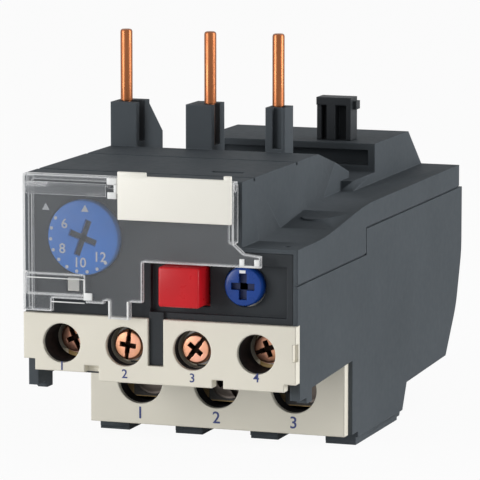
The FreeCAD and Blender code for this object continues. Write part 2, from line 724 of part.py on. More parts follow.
def make_power_terminal_cover():
    """Pale plate over the power terminals, with side returns and short collars."""
    body = new_body("power_terminal_cover")
    front = behind(D.power_cover_front)
    back = front + D.wall_thickness
    half = D.power_cover_half
    low = D.power_cover_bottom
    high = D.power_cover_top
    add(body, "Y", front, back, box(-half, half, low, high))
    reach = behind(D.terminal_depth) - D.seat
    add(body, "Y", back - 0.5, reach, box(-half, 0.9 - half, low, high), box(half - 0.9, half, low, high))
    add(body, "Y", back - 0.5, back + 1.8, *[
        disc(across, D.power_height, D.power_hole + 0.8) for across in PHASES])
    cut(body, "Y", front - 1.0, back + 3.0, *[
        disc(across, D.power_height, D.power_hole) for across in PHASES])
    return body


def make_clear_cover():
    """Transparent sealing cover that swings up on its top edge."""
    body = new_body("clear_cover")
    front = behind(D.cover_front)
    back = front + D.cover_thickness
    left = D.cover_left
    right = D.cover_right
    top = D.cover_top
    low = D.control_top + 0.6
    sill = low + 2.1
    lintel = D.stop_height + D.stop_tall / 2 + D.free_gap
    add(body, "Y", front, back, [
        (left, low), (left + 4.7, low), (left + 4.7, sill), (left + 10.5, sill), (left + 10.5, sill - 0.5),
        (left + 13.4, sill - 0.5), (left + 13.4, sill), (left + 14.2, sill), (left + 14.2, low - 0.7),
        (left + 17.7, low - 0.7), (left + 17.7, sill), (left + 19.8, sill), (left + 19.8, lintel),
        (right + 4.3, lintel), (right + 4.3, lintel + 1.8), (right + 1.6, lintel + 2.1),
        (right, lintel + 3.5), (right, top), (left, top),
    ])
    depth = behind(D.lip_depth) - D.cover_gap
    add(body, "Y", back - 0.2, depth,
        box(left, left + 1.0, low, top - 0.5), box(right - 1.0, right, lintel + 3.5, top - 0.5))
    add(body, "Y", back - 0.2, depth - 0.3, box(left, right, top - 1.0, top))
    axis = behind(D.hinge_depth)
    barrel = left + 13.9
    add(body, "X", barrel, right, disc(axis, D.hinge_height, D.hinge_radius))
    for start, end in lug_ranges():
        cut(body, "X", start - 0.15, end + 0.15,
            box(front - 1.0, depth + 1.0, D.hinge_height - D.hinge_radius - 0.3, top + 1.0))
    cut(body, "X", left - 1.0, right + 1.0, disc(axis, D.hinge_height, D.hinge_pin + D.running))
    cut(body, "Y", front - 1.0, front + 0.3, box(left + 0.6, left + 10.2, sill + 0.6, sill + 3.8))
    return body


def make_cover_hinge_pin():
    body = new_body("cover_hinge_pin")
    add(body, "X", D.cover_left + 14.0, D.cover_right - 0.1,
        disc(behind(D.hinge_depth), D.hinge_height, D.hinge_pin))
    return body


def make_legend_plate():
    """White plate on the clear cover; its face is bare."""
    body = new_body("legend_plate")
    left = D.cover_left + 16.0
    right = D.cover_right - 0.2
    low = D.cover_top - 6.5
    high = D.cover_top + 0.4
    back = behind(D.cover_front)
    add(body, "Y", back - D.legend_thickness, back, [
        (left, low), (right, low), (right, high + 0.6), (right - 1.2, high + 0.6), (right - 1.2, high),
        (left + 4.7, high), (left + 4.7, high + 0.6), (left, high + 0.6),
    ])
    return body


def make_mounting_post():
    """Post with three fins under a cap, set in the hooking block."""
    body = new_body("mounting_post")
    middle = behind(D.post_depth)
    half = D.post_width / 2
    across = D.post_across
    foot = D.rear_top + D.seat
    cap = D.post_top - 1.3
    add(body, "Z", foot - 3.4, foot, around(across, middle, half - 1.05, 1.1))
    add(body, "Z", foot, D.post_top, box(across - half, across + half, middle, middle + 1.6))
    add(body, "Z", foot, cap + 0.5,
        box(across - half, across - half + 0.8, middle - 1.6, middle + 0.5),
        box(across - 1.2, across + 0.3, middle - 2.0, middle + 0.5),
        box(across + half - 0.8, across + half, middle - 2.0, middle + 0.5))
    add(body, "Z", cap, D.post_top, box(across - half, across + half, middle - 2.0, middle + 1.6))
    add(body, "X", across + half - 0.5, across + half + 0.7,
        box(middle - 1.0, middle + 1.0, cap - 0.7, cap + 0.7))
    return body


def make_housing_screws():
    """Two screws that hold the shells together from below."""
    body = new_body("housing_screws")
    middle = D.phase_pitch / 2
    depth = behind(D.screw_depth)
    seat = D.tail_bottom + 2.6 - D.seat
    add(body, "Z", seat - 1.6, seat, *[
        disc(side * middle, depth, D.screw_radius + 1.1) for side in (-1.0, 1.0)])
    add(body, "Z", seat - 0.2, D.rear_top - 3.0, *[
        disc(side * middle, depth, D.screw_radius) for side in (-1.0, 1.0)])
    cut(body, "Z", seat - 2.0, seat - 0.7, *[
        around(side * middle, depth, 0.35, 1.7) for side in (-1.0, 1.0)])
    return body


def make_mechanism_frame():
    """Upright inner plate that guides the plungers and the dial shaft."""
    body = new_body("mechanism_frame")
    front = behind(D.frame_front)
    back = front + D.frame_thickness
    half = INNER - D.seat
    foot = D.control_top + 0.7
    top = D.ledge_front - D.wall_thickness - D.seat
    add(body, "Y", front, back, box(-half, half, foot, top))
    add(body, "Y", front, back, around(D.dial_across, D.dial_height, D.dial_shaft + 2.6, D.dial_shaft + 2.6))
    shelf = D.overhang_back + D.wall_thickness + D.seat
    between = (D.control_inner + D.control_outer) / 2
    add(body, "Y", front, back, *[
        box(across - 1.2, across + 1.2, shelf, foot + 1.0)
        for across in (-between, 0.0, between)])
    cut(body, "Y", front - 1.0, back + 1.0,
        disc(D.dial_across, D.dial_height, D.dial_shaft + D.running),
        disc(D.stop_across, D.stop_height, D.stem_radius + D.running),
        disc(D.reset_across, D.reset_height, D.reset_stem + D.running),
        around(D.flag_across, foot + 3.9, D.flag_width / 2 + 0.4, 1.4))
    return body


# ---------------------------------------------------------------- controls

def make_setting_dial():
    """Current setting dial with a crossed screwdriver slot and a long shaft."""
    body = new_body("setting_dial")
    face = behind(0.0)
    seat = behind(D.lip_depth + 1.0) - D.seat
    add(body, "Y", face, seat, disc(D.dial_across, D.dial_height, D.dial_radius))
    add(body, "Y", seat - 0.5, behind(D.shaft_end), disc(D.dial_across, D.dial_height, D.dial_shaft))
    turn = math.radians(float(D.dial_turned))
    for quarter in (0.0, math.pi / 2):
        cut(body, "Y", face - 1.0, face + 0.6,
            turned_bar(D.dial_across, D.dial_height, D.dial_radius * 0.42, 0.55, turn + quarter))
    return body


def turned_bar(across, up, half_length, half_width, angle):
    """Corners of a bar about a middle, turned in the sketch."""
    run = (math.cos(angle), math.sin(angle))
    corners = []
    for along, beside in ((-1.0, -1.0), (1.0, -1.0), (1.0, 1.0), (-1.0, 1.0)):
        u = across + half_length * (along * run[0]) - half_width * (beside * run[1])
        v = up + half_length * (along * run[1]) + half_width * (beside * run[0])
        corners.append((u, v))
    return corners


def make_dial_cam():
    """Eccentric cam on the dial's shaft."""
    body = new_body("dial_cam")
    radius = D.dial_shaft + 1.6
    front = behind(D.cam_front)
    back = behind(D.cam_back)
    add(body, "Y", front, back, disc(D.dial_across, D.dial_height + D.cam_offset, radius))
    cut(body, "Y", front - 0.5, back + 0.5, disc(D.dial_across, D.dial_height, D.dial_shaft + 0.02))
    return body


def make_stop_button():
    """Red cap with a flange behind the panel and a guiding stem."""
    body = new_body("stop_button")
    cap = behind(-D.button_proud)
    flange = behind(D.lip_depth + D.panel_thickness) + D.seat
    half_width = D.stop_width / 2
    half_tall = D.stop_tall / 2
    add(body, "Y", cap, flange + 0.5, around(D.stop_across, D.stop_height, half_width, half_tall))
    round_edges(body, 0.5, lambda start, end: near(start.y, cap) and near(end.y, cap))
    add(body, "Y", flange, flange + 1.2, around(D.stop_across, D.stop_height, half_width + 0.8, half_tall + 0.6))
    add(body, "Y", flange + 1.0, behind(D.stem_end), disc(D.stop_across, D.stop_height, D.stem_radius))
    return body


def make_reset_plunger():
    """Sliding stem that carries the reset knob."""
    body = new_body("reset_plunger")
    flange = behind(D.lip_depth + D.panel_thickness) + D.seat
    add(body, "Y", flange, flange + 1.2, disc(D.reset_across, D.reset_height, D.reset_radius + 0.9))
    add(body, "Y", flange - 1.6, flange + 0.2, disc(D.reset_across, D.reset_height, D.stem_radius))
    add(body, "Y", flange + 1.0, behind(D.stem_end), disc(D.reset_across, D.reset_height, D.reset_stem))
    return body


def make_reset_knob():
    """Blue knob that turns on the plunger's spigot."""
    body = new_body("reset_knob")
    face = behind(0.3)
    back = behind(D.lip_depth + D.panel_thickness)
    add(body, "Y", face, back, disc(D.reset_across, D.reset_height, D.reset_radius))
    cut(body, "Y", back - 1.75, back + 1.0, disc(D.reset_across, D.reset_height, D.stem_radius + D.running))
    for half_u, half_v in ((D.reset_radius * 0.6, 0.4), (0.4, D.reset_radius * 0.6)):
        cut(body, "Y", face - 1.0, face + 0.5, around(D.reset_across, D.reset_height, half_u, half_v))
    return body


def spring_section(wire):
    """Six-sided section of a spring's wire."""
    return [(wire * math.cos(math.radians(60.0 * n)), wire * math.sin(math.radians(60.0 * n)))
            for n in range(6)]


def make_plunger_spring(name, across, up, radius):
    """Return spring between a flange and the mechanism frame."""
    body = new_body(name)
    start = behind(D.lip_depth + D.panel_thickness) + D.seat + 1.5
    room = behind(D.frame_front) - 0.3 - start
    coil(body, "Y", across, up, start, radius, room / 4.0, 4.0, spring_section(D.spring_wire))
    return body


# ---------------------------------------------------------------- current path

def make_line_pin(index):
    """Round copper pin, cranked inside the housing to reach its phase."""
    body = new_body("line_pin_%d" % (index + 1))
    depth = behind(D.pin_depth)
    top = PINS[index]
    low = PHASES[index]
    bend = D.pin_bend
    upper = D.pin_run + bend
    neck = D.tower_top + D.neck_rise
    add(body, "Z", neck, D.pin_top, disc(top, depth, D.pin_radius))
    bevel_edges(body, D.pin_radius * 0.3, lambda start, end: near(start.z, D.pin_top))
    add(body, "Z", upper, neck, disc(top, depth, D.pin_radius - D.neck_step))
    elbow(body, top, depth, upper, top + bend)
    add(body, "X", top + bend, low - bend, disc(depth, D.pin_run, D.pin_radius))
    elbow(body, low, depth, D.pin_run - bend, low - bend)
    add(body, "Z", D.pin_foot, D.pin_run - bend, disc(low, depth, D.pin_radius))
    return body


def elbow(body, across, depth, height, centre):
    """A quarter bend of round rod from a level section, about an axis along Y."""
    sketch = sketch_at(body, "Z", height)
    draw(sketch, disc(across, depth, D.pin_radius))
    line = sketch.addGeometry(Part.LineSegment(
        FreeCAD.Vector(float(centre), float(depth), 0),
        FreeCAD.Vector(float(centre), float(depth) + 1.0, 0)), True)
    hold(sketch, line, 1, centre, depth)
    hold(sketch, line, 2, centre, depth + 1.0)
    bend = body.newObject("PartDesign::Revolution", body.Name + "_elbow")
    bend.Profile = sketch
    bend.ReferenceAxis = (sketch, ["Axis0"])
    bend.Angle = 90.0
    bend.Reversed = True
    return bend


def make_heater(index):
    """Heater ribbon wound round a bimetal, with a lead to the pin and one to the terminal."""
    body = new_body("heater_%d" % (index + 1))
    across = PHASES[index]
    depth = behind(D.bimetal_depth)
    ribbon = box(-0.25, 0.25, -0.5, 0.5)
    coil(body, "Z", across, depth, D.heater_bottom, D.heater_radius, D.heater_pitch, D.heater_turns, ribbon)
    near_face = depth - D.heater_radius
    top = D.heater_bottom + D.heater_pitch * D.heater_turns
    pin_back = behind(D.pin_depth) + D.pin_radius + D.seat
    add(body, "X", across - 0.4, across + 0.4,
        box(pin_back, near_face + 0.2, top - 0.5, top + 0.5),
        box(near_face - 0.25, near_face + 0.25, D.bimetal_foot + D.seat, D.heater_bottom + 0.3))
    return body


def make_bimetal(index):
    """Bimetal strip with a narrow tip in the trip slide."""
    body = new_body("bimetal_%d" % (index + 1))
    across = PHASES[index]
    depth = behind(D.bimetal_depth)
    half = D.bimetal_width / 2
    tip = half - 0.75
    high = D.slide_bottom + D.slide_thickness + 0.4
    add(body, "X", across - D.bimetal_thickness / 2, across + D.bimetal_thickness / 2, [
        (depth - half, D.bimetal_foot + D.seat), (depth + half, D.bimetal_foot + D.seat),
        (depth + half, D.bimetal_top), (depth + tip, D.bimetal_top), (depth + tip, high),
        (depth - tip, high), (depth - tip, D.bimetal_top), (depth - half, D.bimetal_top),
    ])
    return body


def make_load_terminal(index):
    """Power terminal strip: clamping plate in front, bimetal seat behind."""
    body = new_body("load_terminal_%d" % (index + 1))
    across = PHASES[index]
    front = behind(D.power_plate_front)
    plate = D.power_plate
    half = (D.phase_pitch - D.partition) / 2 - D.seat
    top = D.bimetal_foot
    back = behind(D.bimetal_depth) + D.bimetal_width / 2 + 0.5
    add(body, "Y", front, front + plate, box(across - half, across + half, top - 7.8, top))
    add(body, "Z", top - plate, top, box(across - 3.0, across + 3.0, front, back))
    strip = across - D.bimetal_thickness / 2 - D.seat
    add(body, "X", strip - plate, strip,
        box(behind(D.bimetal_depth) - D.bimetal_width / 2, back - 0.5, top - 0.5, top + 4.2))
    cut(body, "Y", front - 1.0, front + plate + 1.0,
        disc(across, D.power_height, D.power_screw_radius + D.running))
    return body


def make_clamp(name, across, up, front, thickness, shape, bore):
    """Clamp washer that travels with its screw."""
    body = new_body(name)
    add(body, "Y", behind(front), behind(front) + thickness, shape)
    cut(body, "Y", behind(front) - 1.0, behind(front) + thickness + 1.0, disc(across, up, bore + 0.08))
    return body


def make_screw(name, across, up, head_front, head_radius, head_height, radius, length):
    """Pan head screw along Y with a crossed recess."""
    body = new_body(name)
    front = behind(head_front)
    add(body, "Y", front, front + head_height, disc(across, up, head_radius))
    bevel_edges(body, head_height * 0.3, lambda start, end: near(start.y, front))
    add(body, "Y", front + head_height - 0.2, front + head_height + length, disc(across, up, radius))
    arm = head_radius * 0.62
    for half_u, half_v in ((arm, head_radius * 0.14), (head_radius * 0.14, arm)):
        cut(body, "Y", front - 1.0, front + head_height * 0.5, around(across, up, half_u, half_v))
    return body


POWER_HEAD = D.power_screw_head * 0.7
CONTROL_HEAD = D.control_screw_head * 0.9


def make_power_screw(index):
    head = D.power_plate_front - 0.1 - D.power_clamp - D.seat - POWER_HEAD
    return make_screw("power_screw_%d" % (index + 1), PHASES[index], D.power_height, head,
                      D.power_screw_head, POWER_HEAD, D.power_screw_radius, D.power_travel + 4.0)


def make_power_clamp(index):
    across = PHASES[index]
    shape = around(across, D.power_height, D.power_screw_head + 0.6, D.power_screw_head + 0.6)
    return make_clamp("power_clamp_%d" % (index + 1), across, D.power_height,
                      D.power_plate_front - 0.1 - D.power_clamp, D.power_clamp, shape,
                      D.power_screw_radius)


def control_shift(index):
    """The inner two control screws stand backed out."""
    return D.control_travel if index in (1, 2) else 0.0 * D.control_travel


def make_control_screw(index):
    head = D.control_screw_depth - control_shift(index)
    return make_screw("control_screw_%d" % (index + 1), CONTROLS[index], D.control_height, head,
                      D.control_screw_head, CONTROL_HEAD, D.control_screw_radius, D.control_travel + 2.6)


def make_control_clamp(index):
    across = CONTROLS[index]
    front = D.control_screw_depth - control_shift(index) + CONTROL_HEAD + D.seat
    shape = disc(across, D.control_height, D.control_hole - D.free_gap)
    return make_clamp("control_clamp_%d" % (index + 1), across, D.control_height, front,
                      D.strip_thickness, shape, D.control_screw_radius)


# ---------------------------------------------------------------- contacts

CONTACT_HEIGHT = D.parting_front - 1.7
CONTACT_RADIUS = D.strip_thickness + 0.2


def contact_faces():
    """Depths of the closed contact's front strip and of the open contact's rear strip."""
    closed = D.carrier_front - 0.6 - 0.4 - 0.5
    open_gap = D.carrier_travel + 0.1
    opened = D.carrier_front + D.carrier_thickness + 0.6 + 0.3 + open_gap + 0.5
    return closed, opened


def make_control_strip(index):
    """Control terminal strip that rises to a fixed contact."""
    body = new_body("control_strip_%d" % (index + 1))
    across = CONTROLS[index]
    metal = D.strip_thickness
    front = behind(D.control_plate_front)
    shelf = D.overhang_back + D.wall_thickness + D.seat
    closed, opened = contact_faces()
    upright = behind(opened) if index < 2 else behind(closed) - metal
    add(body, "Y", front, front + metal, box(across - 3.1, across + 3.1, shelf, D.control_top))
    add(body, "Z", D.control_top - metal, D.control_top, box(across - 1.6, across + 1.6, front, upright + metal))
    add(body, "Y", upright, upright + metal,
        box(across - 1.6, across + 1.6, D.control_top - metal, CONTACT_HEIGHT + 1.2))
    if index < 2:
        add(body, "Y", upright - 0.5, upright + 0.1, disc(across, CONTACT_HEIGHT, CONTACT_RADIUS))
    else:
        add(body, "Y", upright + metal - 0.1, upright + metal + 0.5,
            disc(across, CONTACT_HEIGHT, CONTACT_RADIUS))
    cut(body, "Y", front - 1.0, front + metal + 1.0,
        disc(across, D.control_height, D.control_screw_radius + D.running))
    return body


def make_bridge(name, first, second, back, contact_front, contact_back):
    """Moving contact bridge with two contact faces."""
    body = new_body(name)
    add(body, "Y", back, back + 0.6,
        box(first - 1.2, second + 1.2, CONTACT_HEIGHT - 1.0, CONTACT_HEIGHT + 1.0))
    add(body, "Y", contact_front, contact_back,
        disc(first, CONTACT_HEIGHT, CONTACT_RADIUS), disc(second, CONTACT_HEIGHT, CONTACT_RADIUS))
    return body


def make_opening_bridge():
    """Normally closed pair: rests on the fixed contacts in front of the carrier."""
    back = behind(D.carrier_front) - 0.6
    return make_bridge("opening_bridge", D.control_inner, D.control_outer, back, back - 0.4, back + 0.1)


def make_closing_bridge():
    """Normally open pair: stands off the fixed contacts behind the carrier."""
    front = behind(D.carrier_front + D.carrier_thickness)
    return make_bridge("closing_bridge", -D.control_outer, -D.control_inner, front, front + 0.5, front + 0.9)


def make_contact_carrier():
    """Sliding bar that holds both bridges, with a fork for the trip lever."""
    body = new_body("contact_carrier")
    front = behind(D.carrier_front)
    back = front + D.carrier_thickness
    half = INNER - D.free_gap
    low = D.parting_front - 4.0
    add(body, "Y", front, back, box(-half, half, low, D.parting_front + 0.5))
    arm = behind(D.lever_depth) - 2.6
    fork = D.free_gap
    high = D.lever_bottom + D.lever_thickness
    left = -3.2
    add(body, "Y", back - 0.2, arm + 3.2 + fork, box(left, left + 2.6, D.lever_bottom - 2.0, D.lever_bottom - 0.6))
    add(body, "Z", D.lever_bottom - 1.0, high,
        box(left, left + 2.6, arm - fork - 1.3, arm - fork),
        box(left, left + 2.6, arm + 1.6 + fork, arm + 3.2 + fork))
    return body


def make_trip_flag():
    """Indicator arm that shows in the panel's window."""
    body = new_body("trip_flag")
    low = D.control_top + 3.5
    add(body, "Y", behind(D.lip_depth + 0.6), behind(D.carrier_front),
        around(D.flag_across, low + 1.05, D.flag_width / 2, 1.05))
    return body


def make_carrier_spring():
    """Spring between the contact carrier and the chamber wall."""
    body = new_body("carrier_spring")
    start = behind(D.carrier_front + D.carrier_thickness) + 0.3
    room = behind(D.terminal_depth) - 0.3 - start
    coil(body, "Y", (D.control_inner + D.control_outer) / 2, D.parting_front - 1.7, start,
         D.spring_wire * 6.0, room / 6.0, 6.0, spring_section(D.spring_wire))
    return body


# ---------------------------------------------------------------- trip mechanism

def make_trip_slide():
    """Bar with one slot for each bimetal tip and a lug that pushes the lever."""
    body = new_body("trip_slide")
    depth = behind(D.bimetal_depth)
    low = D.slide_bottom
    high = low + D.slide_thickness
    lug = D.lever_across - 0.8 - D.free_gap
    add(body, "Z", low, high, box(-D.phase_pitch - 3.8, lug, depth - 2.6, depth + 2.6))
    tip = D.bimetal_thickness / 2
    width = D.bimetal_width / 2 - 0.75 + D.free_gap
    cut(body, "Z", low - 1.0, high + 1.0, *[
        box(across - tip - D.free_gap - D.trip_travel, across + tip + D.free_gap, depth - width, depth + width)
        for across in PHASES])
    add(body, "Z", D.lever_bottom, low + 0.5, box(lug - 1.1, lug, depth - 2.2, depth + 1.0))
    return body


def make_trip_lever():
    """Bell crank on an upright pin."""
    body = new_body("trip_lever")
    low = D.lever_bottom
    high = low + D.lever_thickness
    across = D.lever_across
    depth = behind(D.lever_depth)
    add(body, "Z", low, high, disc(across, depth, D.lever_pin + 1.3))
    add(body, "Z", low, high, box(across - 0.8, across + 0.8, depth, behind(D.bimetal_depth) + 0.5))
    add(body, "Z", low, high, box(D.dial_across + 4.3, across, depth - 2.6, depth - 1.0))
    cut(body, "Z", low - 1.0, high + 1.0, disc(across, depth, D.lever_pin + D.running))
    return body


def make_lever_pin():
    body = new_body("lever_pin")
    add(body, "Z", D.overhang_back + D.wall_thickness + 1.1, D.ledge_front - D.wall_thickness - 0.1,
        disc(D.lever_across, behind(D.lever_depth), D.lever_pin))
    return body


def make_ambient_strip():
    """Compensation bimetal that stands on the lever beside the dial cam."""
    body = new_body("ambient_strip")
    low = D.lever_bottom + D.lever_thickness
    depth = behind(D.lever_depth)
    add(body, "X", D.dial_across + 5.1, D.dial_across + 5.7,
        box(behind(D.cam_front), depth - 1.1, low, D.dial_height + 1.4))
    return body


# ---------------------------------------------------------------- build and export

def build_pieces():
    bodies = [
        make_base_housing(), make_top_housing(), make_front_panel(), make_control_terminal_block(),
        make_power_terminal_cover(), make_clear_cover(), make_cover_hinge_pin(), make_legend_plate(),
        make_mounting_post(), make_housing_screws(), make_mechanism_frame(),
        make_setting_dial(), make_dial_cam(), make_stop_button(), make_reset_plunger(), make_reset_knob(),
        make_plunger_spring("stop_spring", D.stop_across, D.stop_height, D.stem_radius + 0.8),
        make_plunger_spring("reset_spring", D.reset_across, D.reset_height, D.reset_stem + 0.8),
        make_trip_slide(), make_trip_lever(), make_lever_pin(), make_ambient_strip(),
        make_contact_carrier(), make_closing_bridge(), make_opening_bridge(), make_trip_flag(),
        make_carrier_spring(),
    ]
    for index in range(3):
        bodies += [make_line_pin(index), make_heater(index), make_bimetal(index), make_load_terminal(index),
                   make_power_screw(index), make_power_clamp(index)]
    for index in range(4):
        bodies += [make_control_strip(index), make_control_screw(index), make_control_clamp(index)]
    return bodies


def check(bodies):
    """Stop if any object failed to compute or any sub-part has no sound shape."""
    for item in DOC.Objects:
        if "Invalid" in item.State or "Error" in item.State:
            raise RuntimeError(item.Name + " did not compute: " + ", ".join(item.State))
    for body in bodies:
        if body.Shape.isNull() or not body.Shape.isValid() or not body.Shape.Solids:
            raise RuntimeError(body.Label + " has no sound shape")


def export(bodies):
    os.makedirs("parts", exist_ok=True)
    for body in bodies:
        body.Shape.exportStep("parts/" + body.Label + ".step")


PIECES = build_pieces()
DOC.recompute()
check(PIECES)
export(PIECES)
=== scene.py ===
"""Looks of the thermal overload relay: finishes for its moulded, metal and clear parts,
detailed front controls and screws, and a plain studio."""

import math

import bmesh
import bpy
from mathutils import Euler, Matrix, Vector


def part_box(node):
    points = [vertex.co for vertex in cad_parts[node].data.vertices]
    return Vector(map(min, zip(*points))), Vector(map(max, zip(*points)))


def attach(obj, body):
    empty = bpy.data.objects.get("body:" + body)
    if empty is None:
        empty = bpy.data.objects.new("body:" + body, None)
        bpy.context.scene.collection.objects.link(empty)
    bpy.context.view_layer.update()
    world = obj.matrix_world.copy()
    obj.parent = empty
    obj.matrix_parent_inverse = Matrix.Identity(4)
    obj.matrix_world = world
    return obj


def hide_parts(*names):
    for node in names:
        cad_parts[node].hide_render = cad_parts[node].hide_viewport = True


bl_info = {
    "name": "Thermal overload relay",
    "version": (1, 0, 0),
    "blender": (4, 5, 0),
    "location": "View3D > Sidebar > Relay",
    "description": "Dresses the relay's shells, front controls, terminals and pins, and lights it",
    "category": "Object",
}

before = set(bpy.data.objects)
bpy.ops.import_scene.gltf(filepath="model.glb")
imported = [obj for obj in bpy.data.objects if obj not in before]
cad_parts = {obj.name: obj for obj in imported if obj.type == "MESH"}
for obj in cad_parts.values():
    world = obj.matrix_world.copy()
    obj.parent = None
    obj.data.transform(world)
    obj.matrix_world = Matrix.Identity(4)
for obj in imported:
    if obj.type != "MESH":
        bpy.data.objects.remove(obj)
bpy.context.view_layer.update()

MM = 0.001
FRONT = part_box("control_terminal_block")[0].y
PHASES = (1, 2, 3)
CONTROLS = (1, 2, 3, 4)
TILT = 20  # turn of the dial at rest, in degrees


def middle(node):
    """Middle of a node's box at rest."""
    low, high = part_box(node)
    return (low + high) / 2


def front_middle(low, high):
    """Middle of the front face of a box."""
    return Vector(((low.x + high.x) / 2, low.y, (low.z + high.z) / 2))


# ---------------------------------------------------------------- settings

class RelayColours(bpy.types.PropertyGroup):
    """Colours that a user would change."""

    shell: bpy.props.FloatVectorProperty(
        name="Shell", description="Moulded shells", subtype="COLOR", size=3,
        default=(0.074, 0.085, 0.095), min=0.0, max=1.0)
    panel: bpy.props.FloatVectorProperty(
        name="Front panel", description="Front panel and post", subtype="COLOR", size=3,
        default=(0.030, 0.034, 0.038), min=0.0, max=1.0)
    terminal: bpy.props.FloatVectorProperty(
        name="Terminal block", description="Pale terminal block and power terminal cover", subtype="COLOR",
        size=3, default=(0.80, 0.765, 0.66), min=0.0, max=1.0)
    dial: bpy.props.FloatVectorProperty(
        name="Dial", description="Setting dial", subtype="COLOR", size=3,
        default=(0.045, 0.265, 0.860), min=0.0, max=1.0)
    stop: bpy.props.FloatVectorProperty(
        name="Stop button", description="Stop button", subtype="COLOR", size=3,
        default=(0.58, 0.008, 0.014), min=0.0, max=1.0)
    reset: bpy.props.FloatVectorProperty(
        name="Reset knob", description="Reset knob", subtype="COLOR", size=3,
        default=(0.006, 0.048, 0.260), min=0.0, max=1.0)
    copper: bpy.props.FloatVectorProperty(
        name="Copper", description="Line pins", subtype="COLOR", size=3,
        default=(0.27, 0.100, 0.042), min=0.0, max=1.0)


class RelaySizes(bpy.types.PropertyGroup):
    """Sizes that a user would change."""

    edge: bpy.props.FloatProperty(
        name="Edge radius", description="Rounding of the moulded edges", default=0.35 * MM,
        min=0.0, max=2 * MM, unit="LENGTH", precision=5)
    button_edge: bpy.props.FloatProperty(
        name="Button edge", description="Rounding of the stop button", default=0.45 * MM,
        min=0.05 * MM, max=2 * MM, unit="LENGTH", precision=5)
    figure_height: bpy.props.FloatProperty(
        name="Dial figures", description="Height of the figures on the dial", default=1.6 * MM,
        min=0.5 * MM, max=3 * MM, unit="LENGTH", precision=5)
    terminal_figure: bpy.props.FloatProperty(
        name="Terminal figures", description="Height of the figures under the terminals", default=2.0 * MM,
        min=0.5 * MM, max=4 * MM, unit="LENGTH", precision=5)
    lamp_power: bpy.props.FloatProperty(
        name="Lamps", description="Strength of each lamp", default=3.6, min=0.0, max=50.0,
        unit="POWER")


# ---------------------------------------------------------------- finishes

def shader(name):
    """An empty material with its tree, its Principled shader and its Object coordinates."""
    material = bpy.data.materials.new(name)
    material.use_nodes = True
    tree = material.node_tree
    tree.nodes.clear()
    output = tree.nodes.new("ShaderNodeOutputMaterial")
    surface = tree.nodes.new("ShaderNodeBsdfPrincipled")
    tree.links.new(surface.outputs["BSDF"], output.inputs["Surface"])
    place = tree.nodes.new("ShaderNodeTexCoord")
    return material, tree, surface, place.outputs["Object"]


def noise(tree, place, scale, detail=2.0, stretch=None):
    """A noise pattern at a scale per metre, stretched along the axes if asked."""
    pattern = tree.nodes.new("ShaderNodeTexNoise")
    pattern.inputs["Scale"].default_value = scale
    pattern.inputs["Detail"].default_value = detail
    if stretch:
        mapping = tree.nodes.new("ShaderNodeMapping")
        mapping.inputs["Scale"].default_value = stretch
        tree.links.new(place, mapping.inputs["Vector"])
        place = mapping.outputs["Vector"]
    tree.links.new(place, pattern.inputs["Vector"])
    return pattern.outputs["Fac"]


def span(tree, value, low, high):
    """Map a pattern's 0.3 to 0.7 to a range."""
    node = tree.nodes.new("ShaderNodeMapRange")
    node.inputs["From Min"].default_value = 0.3
    node.inputs["From Max"].default_value = 0.7
    node.inputs["To Min"].default_value = low
    node.inputs["To Max"].default_value = high
    tree.links.new(value, node.inputs["Value"])
    return node.outputs["Result"]


def blend_colours(tree, factor, first, second):
    """Mix two colours, or colour outputs, by a factor."""
    node = tree.nodes.new("ShaderNodeMix")
    node.data_type = "RGBA"
    node.inputs["Factor"].default_value = 0.5
    tree.links.new(factor, node.inputs["Factor"])
    for socket, colour in ((node.inputs["A"], first), (node.inputs["B"], second)):
        if isinstance(colour, bpy.types.NodeSocket):
            tree.links.new(colour, socket)
        else:
            socket.default_value = (*colour, 1.0)
    return node.outputs["Result"]


def shade(colour, factor):
    """A colour made lighter or darker."""
    return tuple(min(1.0, channel * factor) for channel in colour)


def soft_edges(tree, radius):
    """Normal that rounds the edges of a solid, and a mask of those edges."""
    rounded = tree.nodes.new("ShaderNodeBevel")
    rounded.samples = 4
    rounded.inputs["Radius"].default_value = radius
    flat = tree.nodes.new("ShaderNodeNewGeometry")
    likeness = tree.nodes.new("ShaderNodeVectorMath")
    likeness.operation = "DOT_PRODUCT"
    tree.links.new(rounded.outputs["Normal"], likeness.inputs[0])
    tree.links.new(flat.outputs["Normal"], likeness.inputs[1])
    mask = tree.nodes.new("ShaderNodeMapRange")
    mask.inputs["From Min"].default_value = 0.995
    mask.inputs["From Max"].default_value = 0.80
    tree.links.new(likeness.outputs["Value"], mask.inputs["Value"])
    return rounded.outputs["Normal"], mask.outputs["Result"]


def bump(tree, surface, height, strength, distance, normal=None):
    """Raise a pattern on a surface, over its rounded normal if there is one."""
    node = tree.nodes.new("ShaderNodeBump")
    node.inputs["Strength"].default_value = strength
    node.inputs["Distance"].default_value = distance
    tree.links.new(height, node.inputs["Height"])
    if normal:
        tree.links.new(normal, node.inputs["Normal"])
    tree.links.new(node.outputs["Normal"], surface.inputs["Normal"])


